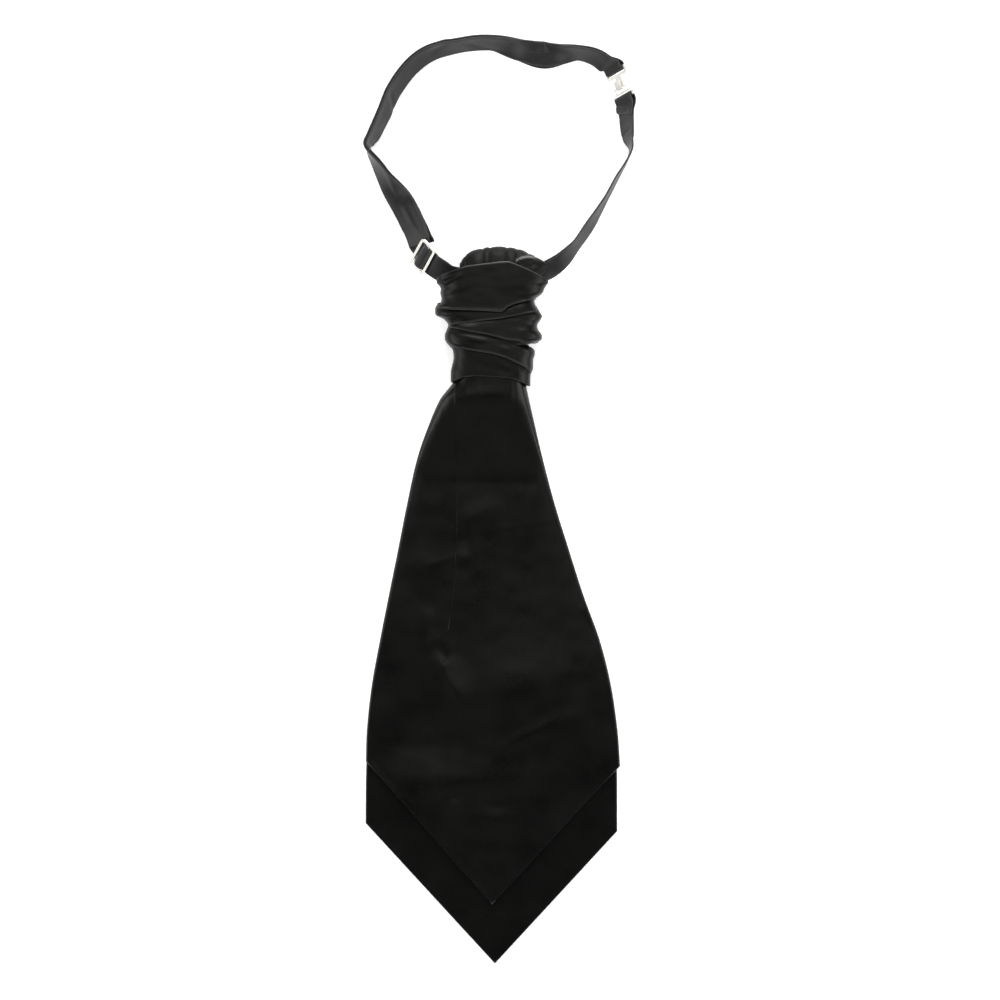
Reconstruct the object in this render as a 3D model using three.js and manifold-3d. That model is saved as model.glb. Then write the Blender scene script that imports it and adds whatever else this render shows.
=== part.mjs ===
// Ruche tie: a ready-tied gathered cravat in satin on an adjustable neck strap, lying flat with its front up.
// X runs across the blades, +Y from the points to the neck, +Z up out of the front. The back lies on z = 0.
import * as THREE from 'three';
import { mergeVertices } from 'three/addons/utils/BufferGeometryUtils.js';
import Module from 'manifold-3d';

const { lerp, smoothstep, clamp, degToRad } = THREE.MathUtils;
const wasm = await Module();
wasm.setup();

// Driving dimensions, in mm.
const CLOTH = 2.5; // a blade: two layers of satin with an interlining
const GAP = 0.3; // clearance between pieces that rest on each other
const STRAP_THICK = 1.0;
const LAYER_STEP = 1.3; // from the middle of one strap layer to the middle of the other
const STRAP_PITCH = 4.0; // longest stretch of strap between two sections
const SLIDE_PITCH = 0.55; // and near the slide

// The ruched knot is an oval tube: the height of its middle, the half heights of its hollow, its lower end.
const KNOT = { mid: 11.2, over: 9.6, under: 9.5, power: 3, hem: 60 };
const NECK_CLEAR = 0.4; // from the bunched necks to the wrap's inside
const NECK_FULL = 0.97; // the share of the oval's width that a neck fills
const NECK_TOP = 100.3; // the blades' necks end here and the head's legs begin
const FLAT_FROM = 8; // below this the blades lie flat

const SATIN = { color: 0x0d0c0c, roughness: 0.42, metalness: 0 };
const STRAP_SATIN = { color: 0x1c1b1c, roughness: 0.5, metalness: 0 };
const NICKEL = { color: 0xd8d4c8, roughness: 0.22, metalness: 1 };

// The inside of the wrap, from its top rim to its bottom hem.
const HOLLOW = [
  { y: 131, left: -28.2, right: 24.2 },
  { y: 122, left: -26.6, right: 22.0 },
  { y: 111, left: -24.4, right: 17.2 },
  { y: 102, left: -23.6, right: 14.5 },
  { y: 74, left: -23.6, right: 14.5 },
  { y: 66, left: -25.3, right: 15.4 },
  { y: 60, left: -25.7, right: 15.8 },
];

// The wrap's folds from the top. lip gives the fold line's y at five places from the left side to the right.
const FOLD_LINES = [
  { name: 'top hem', lip: [121.2, 128.3, 129.8, 129.5, 120.6] },
  { name: 'first', lip: [105.5, 106.1, 104.9, 108.8, 112.1] },
  { name: 'second', lip: [97.3, 98.6, 100.2, 102.9, 105.0] },
  { name: 'third', lip: [95.6, 93.4, 91.2, 87.9, 85.7] },
  { name: 'fourth', lip: [85.1, 83.1, 80.7, 76.3, 70.8] },
  { name: 'bottom hem', lip: [65.3, 67.5, 67.3, 66.5, 62.5] },
];

// How far each fold's lip stands out on the left, on the right and at the top. The in_ columns say where the
// next fold starts under it.
const FOLD_REACH = [
  { left: -33.2, right: 27.0, top: 24.4, in_left: -33.2, in_right: 27.0, in_top: 24.4 },
  { left: -35.0, right: 24.2, top: 27.0, in_left: -30.0, in_right: 18.8, in_top: 23.2 },
  { left: -29.8, right: 23.2, top: 25.8, in_left: -27.2, in_right: 20.4, in_top: 23.0 },
  { left: -28.6, right: 23.6, top: 26.2, in_left: -27.0, in_right: 16.2, in_top: 22.6 },
  { left: -30.2, right: 19.4, top: 25.4, in_left: -25.4, in_right: 16.2, in_top: 22.4 },
  { left: -26.9, right: 17.2, top: 22.6, in_left: -26.9, in_right: 17.2, in_top: 22.6 },
];
const FOLDS = FOLD_LINES.map((line, n) => ({ ...line, ...FOLD_REACH[n] }));
const FOLD_ROWS = [0, 0.12, 0.3, 0.52, 0.74, 0.9, 1]; // shares of the way down a fold
const INSIDE_ROWS = [0, 0.1, 0.25, 0.5, 0.72, 0.9, 1]; // shares of the way up the wrap's inside
const WRAP_COLUMNS = 40;
const WRAP_BACK = { out: KNOT.mid + 2, tucked: KNOT.mid - 0.5 }; // a fold's depth behind, cut flat at z = 0
const MOUTH = { drop: 8.4, from: 0.1, to: 0.62, front_to: 0.3 }; // the top hem's sides dip for the strap
const LIP_DROP = 0.6; // a lip hangs this far below its fold line
const LIP_COVER = 0.8; // and the next fold starts this far above it

// The front blade's outline, with the edge of its lapped pleat and the line down to its point.
const FRONT = [
  { y: 100, left: -22.4, fold: -18.5, point: -5.5, right: 13.2 },
  { y: 73, left: -22.4, fold: -19.5, point: -5.5, right: 13.2 },
  { y: 66, left: -24.4, fold: -22.6, point: -5.3, right: 14.3 },
  { y: 62, left: -27.2, fold: -24.7, point: -5.0, right: 14.8 },
  { y: 54.8, left: -32.8, fold: -24.7, point: -4.8, right: 16.3 },
  { y: 38.3, left: -39.9, fold: -24.2, point: -4.7, right: 20.1 },
  { y: 21.8, left: -45.5, fold: -23.7, point: -4.6, right: 24.0 },
  { y: -3, left: -51.0, fold: -23.4, point: -4.5, right: 30.6 },
  { y: -27.8, left: -55.9, fold: -24.0, point: -4.4, right: 38.3 },
  { y: -52.6, left: -60.9, fold: -25.6, point: -4.3, right: 46.2 },
  { y: -77.4, left: -65.8, fold: -29.5, point: -4.2, right: 55.2 },
  { y: -102.2, left: -70.3, fold: -31.0, point: -4.1, right: 61.4 },
  { y: -127, left: -73.0, fold: -32.0, point: -4.1, right: 65.0 },
  { y: -146, left: -73.6, fold: -33.0, point: -4.1, right: 66.4 },
];
const FRONT_END = { left: [-73.6, -144.1], point: [-4.1, -223.2], right: [66.4, -146.8] };
const FRONT_ROWS = [82, 72, 66, 63.5, 61, 57, 52, 46, 39, 31, 22, 12, 0, -13, -27, -41, -55, -69, -83, -97];

const BACK = [
  { y: 100, left: -22.4, point: -5.5, right: 13.2 },
  { y: 73, left: -22.4, point: -5.5, right: 13.2 },
  { y: 66, left: -24.2, point: -5.3, right: 14.4 },
  { y: 61, left: -26.2, point: -5.0, right: 14.8 },
  { y: 40, left: -36.5, point: -4.5, right: 17.5 },
  { y: 0, left: -48.0, point: -4.0, right: 27.5 },
  { y: -50, left: -58.5, point: -3.5, right: 43.5 },
  { y: -100, left: -68.4, point: -3.0, right: 58.8 },
  { y: -140, left: -73.0, point: -2.5, right: 64.2 },
  { y: -180, left: -73.8, point: -2.5, right: 64.9 },
];
const BACK_END = { left: [-73.8, -178.2], point: [-2.5, -255.7], right: [64.9, -182.7] };
const BACK_ROWS = [76, 66, 61, 54, 46, 37, 27, 15, 0, -22, -48, -75, -102, -128, -150];

// The lapped pleat is a step along its edge, as wide as turn, and sinks back into the blade over sink.
const PLEAT = { step: 2.0, turn: 1.3, sink: 32, full_from: 52, full_to: -35, gone: -84 };

// The soft waves that the front blade keeps: middle, direction, half length, half width and height.
const WAVES = [
  { x: 16, y: -80, angle: 35, length: 42, width: 17, height: 1.5 },
  { x: -33, y: -121, angle: 8, length: 26, width: 13, height: -0.8 },
  { x: -27, y: -104, angle: -57, length: 22, width: 8, height: 1.1 },
  { x: 13, y: -133, angle: 28, length: 20, width: 8, height: 0.9 },
  { x: 2, y: -17, angle: 10, length: 24, width: 8, height: 0.9 },
  { x: -41, y: -37, angle: 4, length: 17, width: 8, height: 0.8 },
];
const WAVE_UNDER = 0.6; // the share of a raised wave that the blade's underside follows

// The head: the satin folded over the strap. Its dome stands on two legs that go down into the wrap.
const HEAD = { mid: -0.9, half: 21.0, foot: 100.6, shoulder: 122, crown: 139.1, columns: 22, arc_steps: 8 };
const HEAD_NECK = { mid: -4.6, half: 17.6, widens_from: 106 };
const HEAD_LEG_ROWS = [HEAD.foot, 108, 115, HEAD.shoulder];
const HEAD_SIDES = { left_drop: 0.46, right_drop: 0.34, drop_power: 2.4, thinner: 0.46, thin_power: 3 };
const HEAD_PLEATS = { count: 7, depth: 0.9 };
const HEAD_LAP = { reach: 5.6, power: 4, spread: 0.7 }; // its front layer spreads over the strap on the right
const STRAP_TUNNEL = { left: 130.2, middle: 130.4, right: 131.8, z: 11.1, half: 1.0, flare: 2.0 };

// The strap's course, from the eye down the right side, through the head, up the left side and over to the
// hook. x and y are its middle, width its width, and lift the height of its lower edge. tilt turns its outer
// face from straight up at 0, through standing on edge at -90, to facing down at -180. The lift leaves room
// for the return layer where that one lies underneath.
const COURSE = [
  { x: 69.0, y: 221.6, tilt: -138, lift: 3.6, width: 13 },
  { x: 69.6, y: 211.0, tilt: -124, lift: 0.8, width: 13.8 },
  { x: 70.8, y: 199.2, tilt: -116, lift: 0, width: 14 },
  { x: 72.4, y: 192.3, tilt: -92, lift: 0, width: 14 },
  { x: 64.3, y: 176.0, tilt: -84, lift: 0, width: 14 },
  { x: 58.6, y: 165.2, tilt: -82, lift: 0, width: 14 },
  { x: 50.4, y: 152.2, tilt: -70, lift: 0, width: 14 },
  { x: 41.6, y: 139.6, tilt: -70, lift: 0.6, width: 14 },
  { x: 32.2, y: 129.7, tilt: -42, lift: 5.2, width: 12.4 },
  { x: 22.0, y: 124.4, tilt: -7, lift: 9.7, width: 10.5 },
  { x: 0.0, y: 123.0, tilt: 0, lift: 10.4, width: 10 },
  { x: -17.0, y: 122.3, tilt: -3, lift: 10.1, width: 9.6 },
  { x: -27.6, y: 123.4, tilt: -24, lift: 9.4, width: 11.6 },
  { x: -32.8, y: 126.2, tilt: -34, lift: 8.6, width: 14 },
  { x: -36.5, y: 128.6, tilt: -36, lift: 7.6, width: 14 },
  { x: -37.2, y: 129.3, tilt: -36, lift: 7.2, width: 14 },
  { x: -41.3, y: 133.7, tilt: -36, lift: 4.2, width: 14, carries: 'slide' },
  { x: -45.4, y: 138.1, tilt: -36, lift: 1.2, width: 14 },
  { x: -46.1, y: 139.0, tilt: -34, lift: 1.2, width: 14 },
  { x: -47.3, y: 149.3, tilt: -19, lift: 1.4, width: 14 },
  { x: -53.4, y: 162.6, tilt: -16, lift: 1.4, width: 14 },
  { x: -57.9, y: 169.2, tilt: -34, lift: 1.2, width: 14 },
  { x: -62.3, y: 175.4, tilt: -56, lift: 0.8, width: 14 },
  { x: -68.6, y: 185.0, tilt: -74, lift: 0.4, width: 14 },
  { x: -73.0, y: 192.2, tilt: -90, lift: 0, width: 14 },
  { x: -73.2, y: 195.8, tilt: -106, lift: 0, width: 14 },
  { x: -70.3, y: 200.0, tilt: -116, lift: 0, width: 14 },
  { x: -64.4, y: 212.4, tilt: -119, lift: 0, width: 14 },
  { x: -58.6, y: 225.6, tilt: -121, lift: 0, width: 14 },
  { x: -48.2, y: 238.9, tilt: -124, lift: 0, width: 14 },
  { x: -38.3, y: 246.0, tilt: -123, lift: 0, width: 14 },
  { x: -21.2, y: 250.6, tilt: -117, lift: 0, width: 14 },
  { x: -3.0, y: 251.7, tilt: -119, lift: 0, width: 14 },
  { x: 12.1, y: 247.8, tilt: -147, lift: 0, width: 14 },
  { x: 24.2, y: 244.9, tilt: -170, lift: 0, width: 14 },
  { x: 34.2, y: 245.6, tilt: -140, lift: 0, width: 14 },
  { x: 43.0, y: 246.3, tilt: -116, lift: 0, width: 14 },
  { x: 53.5, y: 243.4, tilt: -126, lift: 0.6, width: 13.6 },
  { x: 63.4, y: 235.6, tilt: -140, lift: 2.0, width: 13 },
];

// The slide is a flat frame with a bar across its middle. The strap dips under its long bars.
const SLIDE = { long: 18, short: 12, bar: 1.6, thick: 1.0, corner: 2.4, inner_corner: 0.7 };
const DIP = SLIDE.thick / 2 + STRAP_THICK / 2 + 0.25; // from the slide's middle plane to a layer's middle
const TUCK = { from: 4.3, to: 0.65 }; // from a long bar's underside to the top of the middle bar
const RETURN_END = -1.2; // the return layer ends just past the middle bar
const RETURN_RISE = { height: 1.2, from: 0.8 }; // it comes up to the outer layer there, under the slide

// The hook and the eye, stamped from sheet. reach is from the clasp's middle to the bar that holds the strap.
const CLASP = { reach: 8.2, bar: 1.2, width: 16, thick: 1.0, step: 1.3, corner: 1.6 };
const SLOT = { wide: 13.6, high: 2.0, corner: 0.5 };
const TONGUE = { width: 4.2, start: -4.2, turn: 1.6, back: -1.8, root: 0.2 };
const EYE_ARCH = { half: 5.4, apex: 0.7, spring: 3.6, shoulder: 5.2, round: 1.0 };
const EYE_HOLE = { half: 4.2, apex: 1.8, foot: 4.5 };
const FOLD_RADIUS = 1.5; // the strap's middle, round a bar
const FOLD_STEPS = 5;
const HEM_TAIL = 10; // the strap's turned end behind the eye
const BAR_BLEND = { near: 1.5, far: 7 }; // how far from a bar the strap lines up with it

// The value of one column at y, on a smooth curve through the rows of a table that runs from top to bottom.
function read(rows, column, y) {
  const last = rows.length - 1;
  if (y >= rows[0].y) return rows[0][column];
  if (y <= rows[last].y) return rows[last][column];
  const i = rows.findIndex((row, at) => at < last && y > rows[at + 1].y);
  const rise = (a, b) => (rows[b][column] - rows[a][column]) / (rows[b].y - rows[a].y);
  const span = rows[i + 1].y - rows[i].y;
  const t = (y - rows[i].y) / span;
  const out = rise(Math.max(i - 1, 0), i + 1) * span;
  const into = rise(i, Math.min(i + 2, last)) * span;
  const [from, to] = [rows[i][column], rows[i + 1][column]];
  const bend = 2 * (from - to) + out + into;
  return from + t * (out + t * (-3 * (from - to) - 2 * out - into + t * bend));
}

// A closed mesh from rows of points joined to the next row. Winding is turned if it would face inwards.
function closedMesh(points, triangles) {
  const geometry = new THREE.BufferGeometry();
  const volume = triangles.reduce((sum, [a, b, c]) => {
    const cross = new THREE.Vector3().crossVectors(points[b], points[c]);
    return sum + points[a].dot(cross);
  }, 0);
  const index = triangles.flatMap(([a, b, c]) => (volume > 0 ? [a, b, c] : [a, c, b]));
  const numbers = points.flatMap((point) => [point.x, point.y, point.z]);
  geometry.setAttribute('position', new THREE.Float32BufferAttribute(numbers, 3));
  geometry.setIndex(index);
  geometry.computeVertexNormals();
  return geometry;
}

// A sheet with a face on each side: over(i, j) and under(i, j) give its two faces on one grid.
function sheet(columns, rows, over, under) {
  const points = [];
  const triangles = [];
  const at = (side, i, j) => (side * rows + j) * columns + i;
  for (const face of [over, under]) {
    for (let j = 0; j < rows; j++) {
      for (let i = 0; i < columns; i++) points.push(face(i, j));
    }
  }
  const quad = (a, b, c, d) => triangles.push([a, b, c], [a, c, d]);
  for (let j = 0; j + 1 < rows; j++) {
    for (let i = 0; i + 1 < columns; i++) {
      quad(at(0, i, j), at(0, i + 1, j), at(0, i + 1, j + 1), at(0, i, j + 1));
      quad(at(1, i, j), at(1, i, j + 1), at(1, i + 1, j + 1), at(1, i + 1, j));
    }
    quad(at(0, 0, j), at(0, 0, j + 1), at(1, 0, j + 1), at(1, 0, j));
    quad(at(0, columns - 1, j + 1), at(0, columns - 1, j), at(1, columns - 1, j), at(1, columns - 1, j + 1));
  }
  for (let i = 0; i + 1 < columns; i++) {
    quad(at(0, i + 1, 0), at(0, i, 0), at(1, i, 0), at(1, i + 1, 0));
    quad(at(0, i, rows - 1), at(0, i + 1, rows - 1), at(1, i + 1, rows - 1), at(1, i, rows - 1));
  }
  return closedMesh(points, triangles);
}

// A tube with a wall: rows of sections that run down the outside and back up the inside.
function hollowTube(columns, rows) {
  const points = rows.flat();
  const triangles = [];
  for (let j = 0; j < rows.length; j++) {
    const next = (j + 1) % rows.length;
    for (let i = 0; i < columns; i++) {
      const beside = (i + 1) % columns;
      const [a, b] = [j * columns + i, j * columns + beside];
      const [c, d] = [next * columns + beside, next * columns + i];
      triangles.push([a, b, c], [a, c, d]);
    }
  }
  return closedMesh(points, triangles);
}

// How high an oval stands at q, from 1 in the middle to nearly 0 at its sides.
function oval(q) {
  return (1 - Math.abs(NECK_FULL * q) ** KNOT.power) ** (1 / KNOT.power);
}

function waveHeight(x, y) {
  return WAVES.reduce((sum, wave) => {
    const [cos, sin] = [Math.cos(degToRad(wave.angle)), Math.sin(degToRad(wave.angle))];
    const along = ((x - wave.x) * cos + (y - wave.y) * sin) / wave.length;
    const across = ((y - wave.y) * cos - (x - wave.x) * sin) / wave.width;
    return sum + wave.height * Math.exp(-along * along - across * across);
  }, 0);
}

// The lapped pleat's extra height at x, where fold is its edge.
function pleatHeight(x, y, fold) {
  const fade = smoothstep(y, PLEAT.gone, PLEAT.full_to) * (1 - smoothstep(y, PLEAT.full_from, KNOT.hem + 2));
  const past = x - fold;
  const turned = clamp(past / PLEAT.turn, 0, 1);
  return PLEAT.step * fade * turned * Math.exp(-Math.max(past - PLEAT.turn, 0) / PLEAT.sink);
}

// 0 where the blades lie flat, 1 where they are bunched inside the wrap.
function bunching(y) {
  return smoothstep(y, FLAT_FROM, KNOT.hem);
}

// The height that parts the front blade from the back one.
function parting(y) {
  return lerp(CLOTH + GAP / 2, KNOT.mid, bunching(y));
}

// The y of a blade's end below x: two straight edges that meet in the point.
function bladeEnd(end, x) {
  const [from, to] = x < end.point[0] ? [end.left, end.point] : [end.point, end.right];
  return lerp(from[1], to[1], (x - from[0]) / (to[0] - from[0]));
}

// A blade's grid. Its columns run between named lines of its outline, each with its number of steps.
function bladeGrid(outline, end, lines, rowHeights, endRows) {
  const columns = lines.flatMap(({ from, to, steps, shift = 0, to_shift = 0 }, n) => {
    const count = n === lines.length - 1 ? steps + 1 : steps;
    return Array.from({ length: count }, (_, k) => ({ from, to, shift, to_shift, share: k / steps }));
  });
  const heights = [NECK_TOP, ...rowHeights];
  const xAt = ({ from, to, shift, to_shift, share }, y) =>
    lerp(read(outline, from, y) + shift, read(outline, to, y) + to_shift, share);
  const place = (i, j) => {
    const column = columns[i];
    const last = heights.length - 1;
    const endY = bladeEnd(end, xAt(column, outline[outline.length - 1].y));
    const y = j <= last ? heights[j] : lerp(heights[last], endY, (j - last) / endRows);
    return { x: xAt(column, y), y };
  };
  return { columns: columns.length, rows: heights.length + endRows, place };
}

function acrossShare(outline, x, y) {
  const [left, right] = [read(outline, 'left', y), read(outline, 'right', y)];
  return clamp((2 * x - left - right) / (right - left), -1, 1);
}

function frontBlade() {
  const lines = [
    { from: 'left', to: 'fold', steps: 5 },
    { from: 'fold', to: 'fold', steps: 1, to_shift: PLEAT.turn },
    { from: 'fold', to: 'point', steps: 4, shift: PLEAT.turn },
    { from: 'point', to: 'right', steps: 6 },
  ];
  const { columns, rows, place } = bladeGrid(FRONT, FRONT_END, lines, FRONT_ROWS, 10);
  const over = (i, j) => {
    const { x, y } = place(i, j);
    const bunched = KNOT.mid + (KNOT.over - NECK_CLEAR) * oval(acrossShare(FRONT, x, y));
    const flat = CLOTH + GAP + CLOTH + waveHeight(x, y);
    const pleat = pleatHeight(x, y, read(FRONT, 'fold', y));
    return new THREE.Vector3(x, y, lerp(flat, bunched, bunching(y)) + pleat);
  };
  const under = (i, j) => {
    const { x, y } = place(i, j);
    const lifted = WAVE_UNDER * Math.max(waveHeight(x, y), 0) * (1 - bunching(y));
    return new THREE.Vector3(x, y, parting(y) + GAP / 2 + lifted);
  };
  return sheet(columns, rows, over, under);
}

function backBlade() {
  const lines = [
    { from: 'left', to: 'point', steps: 6 },
    { from: 'point', to: 'right', steps: 6 },
  ];
  const { columns, rows, place } = bladeGrid(BACK, BACK_END, lines, BACK_ROWS, 8);
  const over = (i, j) => {
    const { x, y } = place(i, j);
    return new THREE.Vector3(x, y, parting(y) - GAP / 2);
  };
  const under = (i, j) => {
    const { x, y } = place(i, j);
    const bunched = KNOT.mid - (KNOT.under - NECK_CLEAR) * oval(acrossShare(BACK, x, y));
    return new THREE.Vector3(x, y, lerp(0, bunched, bunching(y)));
  };
  return sheet(columns, rows, over, under);
}

// A fold line's y at share, from 0 at the left side to 1 at the right.
function lipHeight(lip, share) {
  const at = clamp(share, 0, 1) * (lip.length - 1);
  const i = Math.min(Math.floor(at), lip.length - 2);
  const t = smoothstep(at - i, 0, 1) * 0.5 + (at - i) * 0.5;
  return lerp(lip[i], lip[i + 1], t);
}

// A point of the wrap's section at angle, 0 at the right and 90 degrees at the front, with a flattened back.
function sectionPoint(angle, y, left, right, over, under) {
  const [cos, sin] = [Math.cos(angle), Math.sin(angle)];
  const round = (value) => Math.sign(value) * Math.abs(value) ** (2 / KNOT.power);
  const x = (left + right) / 2 + ((right - left) / 2) * round(cos);
  const z = KNOT.mid + (sin > 0 ? over : under) * round(sin);
  return new THREE.Vector3(x, y, Math.max(z, 0));
}

function mouthDrop(angle) {
  const height = Math.sin(angle);
  const kept = height > 0 ? smoothstep(height, 0, MOUTH.front_to) : smoothstep(-height, MOUTH.from, MOUTH.to);
  return MOUTH.drop * (1 - kept);
}

function knotWrap() {
  const angles = Array.from({ length: WRAP_COLUMNS }, (_, i) => (2 * Math.PI * i) / WRAP_COLUMNS);
  const shareOf = (angle) => (angle <= Math.PI ? (1 + Math.cos(angle)) / 2 : (angle - Math.PI) / Math.PI);
  const rows = [];
  for (let n = 1; n < FOLDS.length; n++) {
    const [above, fold] = [FOLDS[n - 1], FOLDS[n]];
    const isHem = n === FOLDS.length - 1;
    for (const t of FOLD_ROWS) {
      const out = 1 - (1 - t) ** 2;
      rows.push(angles.map((angle) => {
        const share = shareOf(angle);
        const start = lipHeight(above.lip, share) + (n === 1 ? -mouthDrop(angle) : LIP_COVER);
        const end = lipHeight(fold.lip, share) - (isHem ? 0 : LIP_DROP);
        const left = lerp(above.in_left, fold.left, out);
        const right = lerp(above.in_right, fold.right, out);
        const over = lerp(above.in_top, fold.top, out) - KNOT.mid;
        const under = lerp(WRAP_BACK.tucked, WRAP_BACK.out, out);
        return sectionPoint(angle, lerp(start, end, t), left, right, over, under);
      }));
    }
  }
  const [rim, hem] = [FOLDS[0], FOLDS[FOLDS.length - 1]];
  for (const t of INSIDE_ROWS) {
    rows.push(angles.map((angle) => {
      const share = shareOf(angle);
      const y = lerp(lipHeight(hem.lip, share), lipHeight(rim.lip, share) - mouthDrop(angle), t);
      const [left, right] = [read(HOLLOW, 'left', y), read(HOLLOW, 'right', y)];
      return sectionPoint(angle, y, left, right, KNOT.over, KNOT.under);
    }));
  }
  return hollowTube(WRAP_COLUMNS, rows);
}

function gatheredHead() {
  const legs = HEAD_LEG_ROWS;
  const rows = 2 * (legs.length - 1) + HEAD.arc_steps + 1;
  // Where row j is: the height of its leg, and its angle over the crown, 0 at the front and 180 at the back.
  const station = (j) => {
    const turn = clamp((j - legs.length + 1) / HEAD.arc_steps, 0, 1) * Math.PI;
    const leg = j < legs.length ? j : rows - 1 - j;
    return { turn, y: legs[Math.min(leg, legs.length - 1)] };
  };
  const xAt = (q, y, turn) => {
    const widen = smoothstep(y, HEAD_NECK.widens_from, HEAD.shoulder);
    const over = turn < Math.PI / 2 ? Math.sin(2 * turn) ** HEAD_LAP.spread : 0;
    const lap = HEAD_LAP.reach * over * Math.max(q, 0) ** HEAD_LAP.power;
    const mid = lerp(HEAD_NECK.mid, HEAD.mid, widen) + lap;
    return mid + q * lerp(HEAD_NECK.half, HEAD.half, widen);
  };
  const share = (i) => (2 * i) / (HEAD.columns - 1) - 1;
  const over = (i, j) => {
    const q = share(i);
    const { turn, y } = station(j);
    const pleat = HEAD_PLEATS.depth * (0.5 - 0.5 * Math.cos(Math.PI * HEAD_PLEATS.count * (q + 1)));
    const thinner = HEAD_SIDES.thinner * Math.abs(q) ** HEAD_SIDES.thin_power;
    const depth = (KNOT.over - NECK_CLEAR) * (1 - thinner) - pleat;
    const side = q < 0 ? HEAD_SIDES.left_drop : HEAD_SIDES.right_drop;
    const rise = (HEAD.crown - HEAD.shoulder) * (1 - side * Math.abs(q) ** HEAD_SIDES.drop_power) - pleat;
    return new THREE.Vector3(xAt(q, y, turn), y + rise * Math.sin(turn), KNOT.mid + depth * Math.cos(turn));
  };
  const under = (i, j) => {
    const q = share(i);
    const { turn, y } = station(j);
    const half = STRAP_TUNNEL.half + STRAP_TUNNEL.flare * q ** 4;
    const top = lerp(STRAP_TUNNEL.middle, q < 0 ? STRAP_TUNNEL.left : STRAP_TUNNEL.right, q * q);
    const rise = (top - HEAD.shoulder) * Math.sin(turn);
    const side = Math.sign(Math.cos(turn)) * Math.sqrt(Math.abs(Math.cos(turn)));
    return new THREE.Vector3(xAt(q, y, turn), y + rise, STRAP_TUNNEL.z + half * side);
  };
  return sheet(HEAD.columns, rows, over, under);
}

// The strap's middle line with its directions: forward along it, across over its width, out from its face.
function strapFrames() {
  const stations = COURSE.map(({ x, y }) => new THREE.Vector3(x, y, 0));
  const curve = new THREE.CatmullRomCurve3(stations, false, 'centripetal');
  const slideAt = COURSE.findIndex((station) => station.carries === 'slide');
  const frames = [];
  for (let n = 0; n + 1 < COURSE.length; n++) {
    const [from, to] = [COURSE[n], COURSE[n + 1]];
    const length = Math.hypot(to.x - from.x, to.y - from.y);
    const pitch = Math.abs(n + 0.5 - slideAt) < 1 ? SLIDE_PITCH : STRAP_PITCH;
    const steps = Math.ceil(length / pitch);
    const isLast = n + 2 === COURSE.length;
    for (let k = 0; k < steps + (isLast ? 1 : 0); k++) {
      const t = k / steps;
      const point = curve.getPoint((n + t) / (COURSE.length - 1));
      const [tilt, lift, width] = ['tilt', 'lift', 'width'].map((key) => lerp(from[key], to[key], t));
      const turn = degToRad(tilt);
      point.z = lift + (width / 2) * Math.abs(Math.sin(turn)) + (STRAP_THICK / 2) * Math.abs(Math.cos(turn));
      frames.push({ point, turn, half: width / 2 });
    }
  }
  let run = 0;
  frames.forEach((frame, i) => {
    const [before, after] = [frames[Math.max(i - 1, 0)], frames[Math.min(i + 1, frames.length - 1)]];
    frame.forward = after.point.clone().sub(before.point).normalize();
    const left = new THREE.Vector3(0, 0, 1).cross(frame.forward).normalize();
    const up = frame.forward.clone().cross(left);
    const [cos, sin] = [Math.cos(frame.turn), Math.sin(frame.turn)];
    frame.across = left.multiplyScalar(cos).addScaledVector(up, sin).normalize();
    frame.out = frame.forward.clone().cross(frame.across).normalize();
    if (i > 0) run += frame.point.distanceTo(before.point);
    frame.run = run;
  });
  const station = COURSE[slideAt];
  const slideFrame = frames.reduce((best, frame) => {
    const away = (f) => Math.hypot(f.point.x - station.x, f.point.y - station.y);
    return away(frame) < away(best) ? frame : best;
  });
  frames.forEach((frame) => {
    frame.pastSlide = frame.run - slideFrame.run;
  });
  return { frames, slideFrame };
}

// The clasp's middle and directions, between the strap's two ends.
function claspFrame(frames) {
  const [eyeEnd, hookEnd] = [frames[0], frames[frames.length - 1]];
  const origin = eyeEnd.point.clone().add(hookEnd.point).multiplyScalar(0.5);
  const forward = eyeEnd.point.clone().sub(hookEnd.point).normalize();
  const across = eyeEnd.across.clone().add(hookEnd.across);
  across.addScaledVector(forward, -across.dot(forward)).normalize();
  const out = forward.clone().cross(across).normalize();
  return { origin, forward, across, out };
}

// A point of the clasp: along it towards the eye, and out from its middle plane.
function claspPoint(clasp, along, out) {
  return clasp.origin.clone().addScaledVector(clasp.forward, along).addScaledVector(clasp.out, out);
}

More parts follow.
